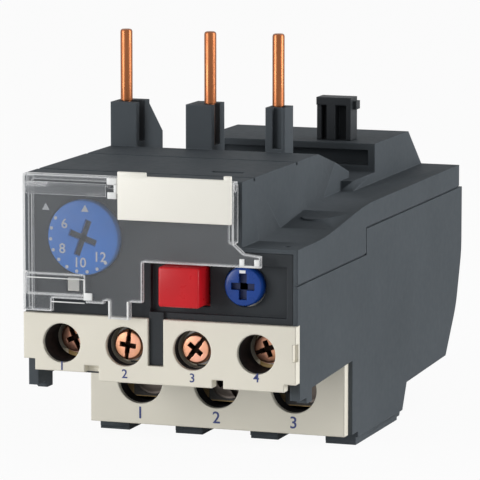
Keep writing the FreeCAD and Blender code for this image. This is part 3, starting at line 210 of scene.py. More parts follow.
def moulded(name, colour, roughness, edge, grain=0.12, edge_highlight=1.35, variation=0.08, gloss=0.32):
    """Moulded thermoplastic: spark-eroded grain, faint flow clouds and a painted highlight on its edges, broken up
    by noise.
    """
    material, tree, surface, place = shader(name)
    surface.inputs["Specular IOR Level"].default_value = gloss
    clouds = noise(tree, place, 55.0, 3.0)
    base = blend_colours(tree, span(tree, clouds, 0.0, 1.0), shade(colour, 1.0 - variation),
                         shade(colour, 1.0 + variation))
    normal, edges = soft_edges(tree, edge)
    # Painted highlight: the edge mask, broken up by noise, lightens the colour along the edges.
    highlight_mask = tree.nodes.new("ShaderNodeMath")
    highlight_mask.operation = "MULTIPLY"
    tree.links.new(edges, highlight_mask.inputs[0])
    tree.links.new(span(tree, noise(tree, place, 420.0), 0.35, 0.9), highlight_mask.inputs[1])
    tinted = blend_colours(tree, highlight_mask.outputs["Value"], base, shade(colour, edge_highlight))
    tree.links.new(tinted, surface.inputs["Base Color"])
    tree.links.new(span(tree, noise(tree, place, 900.0), roughness - 0.05, roughness + 0.05),
                   surface.inputs["Roughness"])
    bump(tree, surface, noise(tree, place, 3800.0, 1.0), grain, 0.00004, normal)
    return material


def glossy_moulding(name, colour, roughness, edge):
    """Smooth coloured moulding of the buttons and the dial."""
    material, tree, surface, place = shader(name)
    surface.inputs["Specular IOR Level"].default_value = 0.30
    base = blend_colours(tree, span(tree, noise(tree, place, 160.0), 0.0, 1.0), shade(colour, 0.93),
                         shade(colour, 1.06))
    tree.links.new(base, surface.inputs["Base Color"])
    tree.links.new(span(tree, noise(tree, place, 700.0), roughness - 0.04, roughness + 0.05),
                   surface.inputs["Roughness"])
    normal, _ = soft_edges(tree, edge)
    bump(tree, surface, noise(tree, place, 2600.0, 1.0), 0.05, 0.00003, normal)
    return material


def metal(name, colour, dull, roughness, stretch, scale=900.0, tarnish=0.3, recess_shade=None):
    """Metal with drawn or rolled lines, patches of tarnish and, if asked, painted shade in the recesses behind a
    face.
    """
    material, tree, surface, place = shader(name)
    surface.inputs["Metallic"].default_value = 1.0
    lines = noise(tree, place, scale, 3.0, stretch)
    patches = noise(tree, place, 260.0, 3.0)
    lined = blend_colours(tree, span(tree, lines, 0.0, 1.0), shade(colour, 0.86), shade(colour, 1.10))
    aged = blend_colours(tree, span(tree, patches, 0.0, tarnish), lined, dull)
    if recess_shade:
        # Painted shade: near-black colour deeper than a set distance behind the face, standing in for the shade in
        # the screw recesses.
        aged = blend_colours(tree, behind(tree, place, *recess_shade), aged, (0.020, 0.012, 0.009))
    tree.links.new(aged, surface.inputs["Base Color"])
    tree.links.new(span(tree, patches, roughness - 0.06, roughness + 0.12), surface.inputs["Roughness"])
    normal, _ = soft_edges(tree, 0.00012)
    bump(tree, surface, lines, 0.12, 0.00003, normal)
    return material


def behind(tree, place, start, end):
    """How far a point lies behind the front, from 0 at the start to 1 at the end."""
    apart = tree.nodes.new("ShaderNodeSeparateXYZ")
    tree.links.new(place, apart.inputs["Vector"])
    node = tree.nodes.new("ShaderNodeMapRange")
    node.inputs["From Min"].default_value = start
    node.inputs["From Max"].default_value = end
    tree.links.new(apart.outputs["Y"], node.inputs["Value"])
    return node.outputs["Result"]


def clear_moulding(name, edge, haziness=0.17):
    """Clear polycarbonate: thin haze on its faces, a painted highlight that turns its edges pale, scuffs in its
    gloss.
    """
    material, tree, surface, place = shader(name)
    surface.inputs["IOR"].default_value = 1.58
    _, edges = soft_edges(tree, edge)
    haze = span(tree, noise(tree, place, 75.0, 3.0), haziness, haziness * 1.45)
    clear = tree.nodes.new("ShaderNodeMath")
    clear.operation = "ADD"
    clear.use_clamp = True
    highlight_alpha = tree.nodes.new("ShaderNodeMath")
    highlight_alpha.operation = "MULTIPLY"
    highlight_alpha.inputs[1].default_value = 0.80
    tree.links.new(edges, highlight_alpha.inputs[0])
    tree.links.new(haze, clear.inputs[0])
    tree.links.new(highlight_alpha.outputs["Value"], clear.inputs[1])
    tree.links.new(clear.outputs["Value"], surface.inputs["Alpha"])
    # Painted highlight: along the edge mask the colour turns near white and the alpha rises.
    tint = blend_colours(tree, edges, (0.27, 0.285, 0.30), (0.97, 0.98, 0.99))
    tree.links.new(tint, surface.inputs["Base Color"])
    tree.links.new(span(tree, noise(tree, place, 480.0, 4.0), 0.05, 0.16), surface.inputs["Roughness"])
    return material


def printed(name, colour):
    """Thin printed ink."""
    material, tree, surface, place = shader(name)
    base = blend_colours(tree, span(tree, noise(tree, place, 1800.0), 0.0, 1.0), shade(colour, 0.86), colour)
    tree.links.new(base, surface.inputs["Base Color"])
    surface.inputs["Roughness"].default_value = 0.55
    return material


FINISHES = {}


def make_finishes():
    """Every finish by its plain name."""
    colours = bpy.context.scene.relay_colours
    sizes = bpy.context.scene.relay_sizes
    # The sixth argument of each moulded finish sets how much lighter its painted edge highlight is.
    FINISHES["shell"] = moulded("shell", tuple(colours.shell), 0.66, sizes.edge, 0.14, 1.9, gloss=0.04)
    FINISHES["panel"] = moulded("panel", tuple(colours.panel), 0.58, sizes.edge, 0.12, 1.8, gloss=0.16)
    FINISHES["terminal"] = moulded("terminal", tuple(colours.terminal), 0.46, sizes.edge, 0.06, 1.12, 0.04)
    FINISHES["white"] = moulded("white", (0.93, 0.91, 0.83), 0.42, 0.0002, 0.04, 1.05, 0.02)
    FINISHES["inner"] = moulded("inner", (0.55, 0.53, 0.46), 0.50, 0.0002, 0.05, 1.1, 0.04)
    FINISHES["dial"] = glossy_moulding("dial", tuple(colours.dial), 0.42, 0.0003)
    # Painted shade: a dark grey-blue, a shaded copy of the dial, for the floor of its slot.
    FINISHES["dial slot shade"] = moulded("dial_slot", (0.045, 0.060, 0.085), 0.6, 0.0001, 0.05, 1.2)
    # Painted shade: a near-black blue, a shaded copy of the knob, for the floor of its slot.
    FINISHES["knob slot shade"] = moulded("knob_slot", (0.006, 0.014, 0.060), 0.6, 0.0001, 0.05, 1.2)
    FINISHES["stop"] = glossy_moulding("stop", tuple(colours.stop), 0.30, 0.0002)
    FINISHES["reset"] = glossy_moulding("reset", tuple(colours.reset), 0.28, 0.0002)
    FINISHES["copper"] = metal("copper", tuple(colours.copper), (0.34, 0.12, 0.05), 0.30, (1.0, 1.0, 0.06))
    # Two copies whose painted recess shade starts at the face of the flush screw heads and of the raised ones.
    for name, first in (("screw", "control_screw_1"), ("raised screw", "control_screw_2")):
        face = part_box(first)[0].y
        FINISHES[name] = metal(name.replace(" ", "_"), (0.84, 0.42, 0.30), (0.55, 0.26, 0.09), 0.34,
                               (1.0, 0.2, 1.0), tarnish=0.6, recess_shade=(face + 0.5 * MM, face + 0.9 * MM))
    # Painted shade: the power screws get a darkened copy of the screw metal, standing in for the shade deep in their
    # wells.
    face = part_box("power_screw_1")[0].y
    FINISHES["dark screw"] = metal("dark_screw", (0.20, 0.17, 0.15), (0.08, 0.07, 0.06), 0.42, (1.0, 0.2, 1.0),
                                   recess_shade=(face + 0.6 * MM, face + 1.2 * MM))
    # Painted shade: near black, far darker than the shell, for the sleeves that line the driver wells.
    FINISHES["well"] = moulded("well", (0.012, 0.012, 0.014), 0.62, 0.0001, 0.1, 1.2)
    FINISHES["brass"] = metal("brass", (0.66, 0.48, 0.24), (0.36, 0.24, 0.10), 0.34, (0.15, 1.0, 1.0))
    FINISHES["zinc"] = metal("zinc", (0.60, 0.59, 0.57), (0.36, 0.35, 0.33), 0.36, (0.15, 1.0, 1.0))
    # Painted shade: a darkened copy of the zinc, for the power clamps deep in their wells.
    FINISHES["dark zinc"] = metal("dark_zinc", (0.16, 0.155, 0.15), (0.08, 0.075, 0.07), 0.45, (0.15, 1.0, 1.0))
    FINISHES["steel"] = metal("steel", (0.56, 0.56, 0.57), (0.30, 0.29, 0.28), 0.32, (1.0, 0.2, 1.0))
    FINISHES["bimetal"] = metal("bimetal", (0.50, 0.47, 0.42), (0.28, 0.22, 0.16), 0.38, (1.0, 1.0, 0.1))
    FINISHES["heater"] = metal("heater", (0.42, 0.39, 0.36), (0.20, 0.13, 0.10), 0.45, (1.0, 1.0, 0.4))
    FINISHES["clear"] = clear_moulding("clear", 0.0006)
    FINISHES["band"] = clear_moulding("band", 0.0002, 0.30)
    # Frosted white for the cover's lug and clips, and also for the painted highlight strips along its edges.
    FINISHES["frosted_and_highlight_white"] = moulded("frosted_and_highlight_white", (0.86, 0.87, 0.86), 0.30, 0.0002, 0.05, 1.1, 0.06)
    FINISHES["ink white"] = printed("ink_white", (0.85, 0.87, 0.88))
    FINISHES["ink blue"] = printed("ink_blue", (0.035, 0.055, 0.20))


# ---------------------------------------------------------------- pieces

def finish_piece(name, mesh, finish, body, smooth=True):
    """Turn a bmesh into a piece that rides on a body."""
    bmesh.ops.recalc_face_normals(mesh, faces=mesh.faces)
    data = bpy.data.meshes.new(name)
    mesh.to_mesh(data)
    mesh.free()
    piece = bpy.data.objects.new(name, data)
    bpy.context.scene.collection.objects.link(piece)
    if smooth:
        data.shade_smooth()
        data.set_sharp_from_angle(angle=math.radians(35))
    data.materials.append(FINISHES[finish])
    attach(piece, body)
    return piece


def slab(mesh, low, high):
    """Add a box between two corners and return its vertices."""
    middle_point = (low + high) / 2
    matrix = Matrix.Translation(middle_point) @ Matrix.Diagonal((*(high - low), 1.0))
    return bmesh.ops.create_cube(mesh, size=1.0, matrix=matrix)["verts"]


def cross(mesh, centre, bars, front, back, tilt=0):
    """Add bars that cross at a centre, each (quarter turns, half length, half width)."""
    for quarter, reach, width in bars:
        verts = slab(mesh, Vector((-width, front, -reach)), Vector((width, back, reach)))
        turn = Matrix.Rotation(math.radians(tilt + 90 * quarter), 4, "Y")
        bmesh.ops.transform(mesh, matrix=Matrix.Translation(centre) @ turn, verts=verts)


def lathe(mesh, profile, centre, steps=64, axis="Y"):
    """Spin a profile of (radius, place) points about an axis through a centre."""
    direction = Vector((0, 1, 0)) if axis == "Y" else Vector((0, 0, 1))
    verts = []
    for radius, place in profile:
        offset = Vector((radius, place, 0)) if axis == "Y" else Vector((radius, 0, place))
        verts.append(mesh.verts.new(centre + offset))
    edges = [mesh.edges.new((first, second)) for first, second in zip(verts, verts[1:])]
    bmesh.ops.spin(mesh, geom=verts + edges, cent=centre, axis=direction, angle=math.tau,
                   steps=steps, use_merge=True, use_duplicate=False)
    bmesh.ops.remove_doubles(mesh, verts=mesh.verts, dist=1e-6)


def cutter(name, mesh):
    """A temporary object for a boolean cut."""
    bmesh.ops.recalc_face_normals(mesh, faces=mesh.faces)
    data = bpy.data.meshes.new(name)
    mesh.to_mesh(data)
    mesh.free()
    tool = bpy.data.objects.new(name, data)
    bpy.context.scene.collection.objects.link(tool)
    return tool


def cut_away(piece, tool, crease=35):
    """Cut a tool out of a piece, drop the tool and keep edges sharper than the crease."""
    modifier = piece.modifiers.new("Cut", "BOOLEAN")
    modifier.operation = "DIFFERENCE"
    modifier.solver = "EXACT"
    modifier.use_self = True
    modifier.object = tool
    bpy.context.view_layer.update()
    graph = bpy.context.evaluated_depsgraph_get()
    cut = bpy.data.meshes.new_from_object(piece.evaluated_get(graph))
    piece.modifiers.remove(modifier)
    old = piece.data
    piece.data = cut
    bpy.data.meshes.remove(old)
    cut.name = piece.name
    bpy.data.objects.remove(tool, do_unlink=True)
    piece.data.shade_smooth()
    piece.data.set_sharp_from_angle(angle=math.radians(crease))


def write(name, text, height, place, body, finish):
    """A printed figure whose middle stands at a place on a face that looks to the front."""
    curve = bpy.data.curves.new(name, "FONT")
    curve.body = text
    curve.size = height * 1.38
    curve.align_x = "CENTER"
    curve.align_y = "CENTER"
    curve.extrude = 0.00003
    curve.offset = height * 0.012
    curve.resolution_u = 3
    holder = bpy.data.objects.new(name + "_curve", curve)
    bpy.context.scene.collection.objects.link(holder)
    bpy.context.view_layer.update()
    data = bpy.data.meshes.new_from_object(holder.evaluated_get(bpy.context.evaluated_depsgraph_get()))
    bpy.data.objects.remove(holder, do_unlink=True)
    bpy.data.curves.remove(curve)
    data.name = name
    data.transform(Matrix.Translation(place) @ Matrix.Rotation(math.pi / 2, 4, "X"))
    piece = bpy.data.objects.new(name, data)
    bpy.context.scene.collection.objects.link(piece)
    data.materials.clear()
    data.materials.append(FINISHES[finish])
    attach(piece, body)
    return piece


class RelayOperator(bpy.types.Operator):
    """What the relay's operators share."""

    bl_options = {"REGISTER", "UNDO"}


class RELAY_OT_dress_nodes(RelayOperator):
    """Give every moulded and metal part of the frame its finish"""

    bl_idname = "relay.dress_nodes"
    bl_label = "Dress the parts"

    PLAIN = {
        "shell": ("base_housing", "top_housing"),
        "panel": ("front_panel", "mounting_post"),
        "terminal": ("control_terminal_block", "power_terminal_cover"),
        "white": ("reset_plunger", "dial_cam", "trip_flag"),
        "inner": ("mechanism_frame", "trip_slide", "trip_lever", "contact_carrier"),
        "steel": ("cover_hinge_pin", "lever_pin", "housing_screws", "stop_spring", "reset_spring",
                  "carrier_spring"),
        "brass": ("closing_bridge", "opening_bridge"),
        "bimetal": ("ambient_strip",),
        "clear": ("clear_cover",),
        "dial": ("setting_dial",),
        "stop": ("stop_button",),
        "reset": ("reset_knob",),
    }
    NUMBERED = {
        "copper": ("line_pin", PHASES),
        "heater": ("heater", PHASES),
        "bimetal": ("bimetal", PHASES),
        "brass": ("load_terminal", PHASES),
        "dark screw": ("power_screw", PHASES),
        "dark zinc": ("power_clamp", PHASES),
    }

    def execute(self, context):
        make_finishes()
        for finish, names in self.PLAIN.items():
            for name in names:
                self.dress(name, finish)
        for finish, (stem, numbers) in self.NUMBERED.items():
            for number in numbers:
                self.dress("%s_%d" % (stem, number), finish)
        for number in CONTROLS:
            self.dress("control_strip_%d" % number, "brass")
            self.dress("control_screw_%d" % number, "screw")
            self.dress("control_clamp_%d" % number, "zinc")
        self.dress("legend_plate", "white")
        return {"FINISHED"}

    def dress(self, name, finish):
        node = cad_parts[name]
        node.data.materials.clear()
        node.data.materials.append(FINISHES[finish])


class RELAY_OT_make_shells(RelayOperator):
    """Both shells with a shadow groove between them, separate feet, hooked ends and slim towers"""

    bl_idname = "relay.make_shells"
    bl_label = "Shells"

    # Lengths in millimetres; outlines are (depth, height) points.
    PAST_SIDES = 23.5
    FEET = ((-22.1, -17.0), (-8.9, -4.1), (4.1, 8.9), (17.0, 22.1))
    FEET_FRONT = -12.7
    FEET_HEIGHT = 1.35
    RELIEF_FRONT = -18.0
    RELIEF_HEIGHT = 2.25
    HOOK = ((-43.5, 8.0), (-37.9, 8.0), (-37.9, 10.9), (-39.1, 11.8), (-39.1, 12.5), (-43.5, 12.5))
    PARTING = (30.5, 34.8)
    PARTING_STEP = -8.3
    PAST_FRONT, PAST_BACK = -46.0, 48.0
    GROOVE = 0.35
    SLOPE = ((-6.1, 46.33), (2.9, 43.93), (9.0, 41.98))
    SLOPE_FRONT = (-7.0, 46.33)
    RIGHT_WEB = (-1.9, 45.21)
    MIDDLE_WEB = (-0.28, 44.78)
    CREASE = 12

    def execute(self, context):
        self.make_base()
        self.make_top()
        return {"FINISHED"}

    def copy(self, node, name):
        """A merged copy of a shell that stands for its node."""
        mesh = bmesh.new()
        mesh.from_mesh(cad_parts[node].data)
        bmesh.ops.remove_doubles(mesh, verts=mesh.verts, dist=1e-6)
        piece = finish_piece(name, mesh, "shell", "housing", smooth=False)
        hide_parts(node)
        return piece

    def prism(self, mesh, left, right, outline):
        """Add a prism along X from an outline of (depth, height) points, in millimetres."""
        verts = [mesh.verts.new((left * MM, y * MM, z * MM)) for y, z in outline]
        face = mesh.faces.new(verts)
        made = bmesh.ops.extrude_face_region(mesh, geom=[face])["geom"]
        moved = [item for item in made if isinstance(item, bmesh.types.BMVert)]
        bmesh.ops.translate(mesh, vec=((right - left) * MM, 0, 0), verts=moved)

    def block(self, mesh, left, right, front, back, bottom, top):
        slab(mesh, Vector((left, front, bottom)) * MM, Vector((right, back, top)) * MM)

    def make_base(self):
        base = self.copy("base_housing", "base_shell")
        gaps = bmesh.new()
        side = self.PAST_SIDES
        edges = [-side] + [x for foot in self.FEET for x in foot] + [side]
        for left, right in zip(edges[::2], edges[1::2]):
            self.block(gaps, left, right, self.FEET_FRONT, 50.0, -1.0, self.FEET_HEIGHT)
        self.block(gaps, -side, side, self.RELIEF_FRONT, -12.6, -1.0, self.RELIEF_HEIGHT)
        cut_away(base, cutter("foot_cutter", gaps), self.CREASE)
        hooks = bmesh.new()
        self.prism(hooks, -side, side, self.HOOK)
        cut_away(base, cutter("hook_cutter", hooks), self.CREASE)

    def make_top(self):
        top = self.copy("top_housing", "top_shell")
        front, back = self.PARTING
        step = self.PARTING_STEP - self.GROOVE
        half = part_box("top_housing")[1].x / MM
        for left, right in ((-half - 1.0, self.GROOVE - half), (half - self.GROOVE, half + 1.0)):
            seam = bmesh.new()
            self.prism(seam, left, right, [
                (self.PAST_FRONT, front - 1.0), (self.PAST_BACK, front - 1.0),
                (self.PAST_BACK, back + self.GROOVE), (step, back + self.GROOVE),
                (step, front + self.GROOVE), (self.PAST_FRONT, front + self.GROOVE)])
            cut_away(top, cutter("seam_cutter", seam), self.CREASE)
        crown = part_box("top_housing")[1].z / MM
        pins = [(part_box("line_pin_%d" % number)[0].x / MM) + 1.0 for number in PHASES]
        end = self.SLOPE[-1][0]
        slim = bmesh.new()
        self.prism(slim, pins[2] + 1.9, pins[2] + 4.0, [
            self.SLOPE_FRONT, *self.SLOPE, (end, crown + 1), (self.SLOPE_FRONT[0], crown + 1)])
        cut_away(top, cutter("tower_cutter", slim), self.CREASE)
        for left, right, start in ((pins[2] - 2.0, pins[2] + 4.0, self.RIGHT_WEB),
                                   (pins[1] - 4.0, pins[1] + 2.0, self.MIDDLE_WEB)):
            web = bmesh.new()
            self.prism(web, left, right, [
                start, *self.SLOPE[1:], (end, crown + 1), (start[0], crown + 1)])
            cut_away(top, cutter("web_cutter", web), self.CREASE)
        face = bmesh.new()
        groove = pins[2] - 0.2
        self.block(face, groove - 0.03, groove + 1.63, -5.5, -4.9, 46.85, crown - 0.02)
        finish_piece("right_tower_face", face, "shell", "housing")


class RELAY_OT_make_setting_dial(RelayOperator):
    """Setting dial with a rounded rim, a crossed slot, figures and an arrow"""

    bl_idname = "relay.make_setting_dial"
    bl_label = "Setting dial"

    # Each figure with its angle in degrees and its share of the radius.
    FIGURES = (("6", 146, 0.62), ("8", 209, 0.66), ("10", 263, 0.68), ("12", 314, 0.70))
    TICKS = 10
    FIRST_TICK, TICK_STEP = 147, 18.7

    def execute(self, context):
        low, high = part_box("setting_dial")
        radius = (high.x - low.x) / 2
        centre = front_middle(low, high)
        mesh = bmesh.new()
        back = 1.8 * MM
        lathe(mesh, [
            (0.0, 0.0), (radius - 0.35 * MM, 0.0), (radius - 0.1 * MM, 0.1 * MM), (radius, 0.35 * MM),
            (radius, back), (2.0 * MM, back), (2.0 * MM, high.y - low.y), (0.0, high.y - low.y),
        ], centre, 96)
        dial = finish_piece("dial_body", mesh, "dial", "dial")
        slot = bmesh.new()
        cross(slot, centre, ((0, 2.95 * MM, 0.52 * MM), (1, 2.35 * MM, 0.52 * MM)), -0.5 * MM, 0.65 * MM, TILT)
        cut_away(dial, cutter("dial_slot_cutter", slot))
        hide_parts("setting_dial")
        # A dark sheet on the slot's floor: painted shade.
        floor = bmesh.new()
        cross(floor, centre, ((0, 2.93 * MM, 0.5 * MM), (1, 2.33 * MM, 0.5 * MM)), 0.52 * MM, 0.64 * MM, TILT)
        finish_piece("dial_slot_shade_floor", floor, "dial slot shade", "dial", smooth=False)
        self.add_figures(context, centre, radius)
        return {"FINISHED"}

    def add_figures(self, context, centre, radius):
        """Plain figures and ticks round the lower left of the dial, and its arrow."""
        height = context.scene.relay_sizes.figure_height
        face = centre + Vector((0, -0.02 * MM, 0))
        for number, (text, angle, reach) in enumerate(self.FIGURES):
            angle = math.radians(angle)
            spot = face + radius * reach * Vector((math.cos(angle), 0, math.sin(angle)))
            write("dial_figure_%d" % (number + 1), text, height, spot, "dial", "ink white")
        ticks = bmesh.new()
        for number in range(self.TICKS):
            angle = math.radians(self.FIRST_TICK + self.TICK_STEP * number)
            spot = face + radius * 0.91 * Vector((math.cos(angle), 0, math.sin(angle)))
            matrix = Matrix.Translation(spot) @ Matrix.Rotation(math.pi / 2, 4, "X")
            bmesh.ops.create_cone(ticks, cap_ends=True, segments=12, radius1=0.27 * MM, radius2=0.27 * MM,
                                  depth=0.05 * MM, matrix=matrix)
        finish_piece("dial_ticks", ticks, "ink white", "dial", smooth=False)
        self.add_arrow("dial_arrow", face + radius * Vector((0.07, 0, 0.76)), "dial", "dial_plastic")
        mark = Vector((centre.x - radius * 1.10, FRONT + 0.86 * MM, centre.z + radius * 0.74))
        self.add_arrow("panel_arrow", mark, "housing", "dark_plastic")

    def add_arrow(self, name, spot, body, slot):
        """A small printed triangle that points up."""
        mesh = bmesh.new()
        matrix = Matrix.Translation(spot) @ Matrix.Rotation(math.pi / 2, 4, "X")
        bmesh.ops.create_cone(mesh, cap_ends=True, segments=3, radius1=0.72 * MM, radius2=0.72 * MM,
                              depth=0.05 * MM, matrix=matrix)
        finish_piece(name, mesh, "ink white", body, smooth=False)


class RELAY_OT_make_stop_button(RelayOperator):
    """Red cap with soft edges, on a flange and a round stem"""

    bl_idname = "relay.make_stop_button"
    bl_label = "Stop button"

    def execute(self, context):
        low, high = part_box("stop_button")
        centre = (low + high) / 2
        half_width = 3.35 * MM
        half_tall = 3.15 * MM
        flange = FRONT + 2.75 * MM
        mesh = bmesh.new()
        slab(mesh, Vector((centre.x - half_width, low.y, centre.z - half_tall)),
             Vector((centre.x + half_width, flange + 0.2 * MM, centre.z + half_tall)))
        edge = context.scene.relay_sizes.button_edge
        front = [e for e in mesh.edges if all(v.co.y < low.y + 1e-6 for v in e.verts)]
        upright = [e for e in mesh.edges if abs(e.verts[0].co.y - e.verts[1].co.y) > 1e-4]
        bmesh.ops.bevel(mesh, geom=front + upright, offset=edge, segments=4, profile=0.5, affect="EDGES",
                        clamp_overlap=True, material=-1)
        slab(mesh, Vector((low.x, flange, low.z)), Vector((high.x, flange + 1.2 * MM, high.z)))
        lathe_centre = Vector((centre.x, flange + 1.1 * MM, centre.z))
        lathe(mesh, [(0.0, 0.0), (1.2 * MM, 0.0), (1.2 * MM, high.y - lathe_centre.y),
                     (0.0, high.y - lathe_centre.y)], lathe_centre, 32)
        button = finish_piece("stop_cap", mesh, "stop", "stop")
        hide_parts("stop_button")
        return {"FINISHED"}


class RELAY_OT_make_reset_knob(RelayOperator):
    """Blue knob with a chamfered rim, a crossed slot and a white mark"""

    bl_idname = "relay.make_reset_knob"
    bl_label = "Reset knob"

    def execute(self, context):
        low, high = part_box("reset_knob")
        radius = (high.x - low.x) / 2
        centre = front_middle(low, high)
        depth = high.y - low.y
        mesh = bmesh.new()
        lathe(mesh, [
            (0.0, 0.0), (radius - 0.55 * MM, 0.0), (radius - 0.2 * MM, 0.12 * MM), (radius, 0.45 * MM),
            (radius, depth), (1.25 * MM, depth), (1.25 * MM, 0.95 * MM), (0.0, 0.95 * MM),
        ], centre, 72)
        knob = finish_piece("reset_cap", mesh, "reset", "knob")
        slot = bmesh.new()
        cross(slot, centre, ((0, 2.05 * MM, 0.64 * MM), (1, 1.9 * MM, 0.54 * MM)), -0.5 * MM, 0.7 * MM)
        cut_away(knob, cutter("knob_slot_cutter", slot))
        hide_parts("reset_knob")
        # A dark sheet on the slot's floor: painted shade.
        floor = bmesh.new()
        cross(floor, centre, ((0, 2.03 * MM, 0.62 * MM), (1, 1.88 * MM, 0.52 * MM)), 0.60 * MM, 0.69 * MM)
        finish_piece("knob_slot_shade_floor", floor, "knob slot shade", "knob", smooth=False)
        mark = bmesh.new()
        slab(mark, centre + Vector((-0.55 * MM, -0.03 * MM, 2.10 * MM)),
             centre + Vector((0.45 * MM, 0.02 * MM, 2.55 * MM)))
        finish_piece("knob_mark", mark, "ink white", "knob", smooth=False)
        return {"FINISHED"}


class RELAY_OT_make_screws(RelayOperator):
    """Terminal screws with domed heads, crossed recesses and threads"""

    bl_idname = "relay.make_screws"
    bl_label = "Terminal screws"

    def execute(self, context):
        for number in PHASES:
            self.make("power_screw_%d" % number, "dark screw", 3.4 * MM, 2.38 * MM, 2.0 * MM, 0.7 * MM,
                      12 + 23 * number)
        for number in CONTROLS:
            finish = "raised screw" if number in (2, 3) else "screw"
            self.make("control_screw_%d" % number, finish, 2.45 * MM, 2.205 * MM, 1.5 * MM, 0.5 * MM,
                      35 + 31 * number)
        return {"FINISHED"}

    def make(self, node, finish, head, height, shank, pitch, turned):
        low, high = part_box(node)
        centre = front_middle(low, high)
        length = high.y - low.y
        profile = [(0.0, 0.0)]
        for step in range(6):
            angle = math.radians(18 * step)
            profile.append((head * (0.80 + 0.20 * math.sin(angle)), height * 0.42 * (1.0 - math.cos(angle))))
        profile += [(head, height * 0.9), (head - 0.15 * MM, height)]
        place = height
        crest = shank
        root = shank - pitch * 0.3
        profile.append((root, height))
        while place + pitch < length:
            profile.append((crest, place + pitch * 0.5))
            profile.append((root, place + pitch))
            place += pitch
        profile += [(root - 0.2 * MM, length), (0.0, length)]
        mesh = bmesh.new()
        lathe(mesh, profile, centre, 40)
        screw = finish_piece(node + "_body", mesh, finish, node + "_body")
        recess = bmesh.new()
        for quarter, reach, width, depth in ((0, head * 0.98, head * 0.13, 0.45), (0, head * 0.55, head * 0.16, 0.8),
                                             (1, head * 0.55, head * 0.16, 0.8)):
            verts = slab(recess, Vector((-reach, -0.5 * MM, -width)), Vector((reach, height * depth, width)))
            turn = Matrix.Rotation(math.radians(turned + 90 * quarter), 4, "Y")
            bmesh.ops.transform(recess, matrix=Matrix.Translation(centre) @ turn, verts=verts)
        cut_away(screw, cutter(node + "_cutter", recess))
        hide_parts(node)


class RELAY_OT_make_wells(RelayOperator):
    """Near-black sleeves that line the driver wells behind the pale fronts: dark housing plastic, painted darker as
    the shade in the wells
    """

    bl_idname = "relay.make_wells"
    bl_label = "Driver wells"

    def execute(self, context):
        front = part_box("control_terminal_block")[0].y
        for number in CONTROLS:
            self.line("control_screw_%d" % number, "control_well_shade_%d" % number, front + 0.7 * MM, 3.10 * MM, 0.6 * MM)
        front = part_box("power_terminal_cover")[0].y
        for number in PHASES:
            self.line("power_screw_%d" % number, "power_well_shade_%d" % number, front + 0.9 * MM, 3.88 * MM, -1.9 * MM)
        return {"FINISHED"}

    def line(self, screw, name, start, radius, past):
        """A thin sleeve from a start to a distance past the face of the screw's head."""
        low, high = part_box(screw)
        end = low.y + past
        thin = radius - 0.06 * MM
        mesh = bmesh.new()
        lathe(mesh, [(thin, start), (radius, start), (radius, end), (thin, end), (thin, start)],
              Vector(((low.x + high.x) / 2, 0.0, (low.z + high.z) / 2)), 48)
        finish_piece(name, mesh, "well", "housing")


class RELAY_OT_make_pins(RelayOperator):
    """Smooth copper line pins with bevelled tips"""

    bl_idname = "relay.make_pins"
    bl_label = "Line pins"

    RUN = 35 * MM
    BEND = 2 * MM

    def execute(self, context):
        for number in PHASES:
            node = "line_pin_%d" % number
            low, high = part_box(node)
            radius = (high.y - low.y) / 2
            top = Vector((low.x + radius, (low.y + high.y) / 2, high.z))
            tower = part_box("top_housing")[1].z
            mesh = bmesh.new()
            shoulder = tower + 0.1 * MM - top.z
            thin = radius - 0.25 * MM
            end = self.RUN + self.BEND - top.z
            lathe(mesh, [
                (0.0, 0.0), (radius - 0.32 * MM, 0.0), (radius - 0.1 * MM, -0.12 * MM), (radius, -0.4 * MM),
                (radius, shoulder), (thin, shoulder), (thin, end), (0.0, end),
            ], top, 40, "Z")
            upright = finish_piece(node + "_upright", mesh, "copper", "housing")
            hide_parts(node)
            self.make_crank(node, top, Vector((high.x - radius, top.y, low.z)), radius)
        return {"FINISHED"}

    def make_crank(self, node, top, foot, radius):
        """The bent run inside the housing, swept along a rounded route."""
        bend = self.BEND
        run = self.RUN
        curve = bpy.data.curves.new(node + "_route", "CURVE")
        curve.dimensions = "3D"
        curve.bevel_depth = radius
        curve.bevel_resolution = 6
        curve.use_fill_caps = True
        spline = curve.splines.new("BEZIER")
        points = [
            (foot, foot + Vector((0, 0, bend))),
            (Vector((foot.x, foot.y, run - bend)), Vector((foot.x, foot.y, run - bend * 0.45))),
            (Vector((foot.x - bend, foot.y, run)), Vector((foot.x - bend * 1.55, foot.y, run))),
            (Vector((top.x + bend, foot.y, run)), Vector((top.x + bend * 0.45, foot.y, run))),
            (Vector((top.x, foot.y, run + bend)), Vector((top.x, foot.y, run + bend * 1.5))),
        ]
        spline.bezier_points.add(len(points) - 1)
        for point, (place, ahead) in zip(spline.bezier_points, points):
            point.co = place
            point.handle_right = ahead
            point.handle_left = place * 2 - ahead
        holder = bpy.data.objects.new(node + "_route", curve)
        bpy.context.scene.collection.objects.link(holder)
        bpy.context.view_layer.update()
        data = bpy.data.meshes.new_from_object(holder.evaluated_get(bpy.context.evaluated_depsgraph_get()))
        bpy.data.objects.remove(holder, do_unlink=True)
        bpy.data.curves.remove(curve)
        mesh = bmesh.new()
        mesh.from_mesh(data)
        bpy.data.meshes.remove(data)
        bmesh.ops.remove_doubles(mesh, verts=mesh.verts, dist=1e-6)
        finish_piece(node + "_crank", mesh, "copper", "housing")


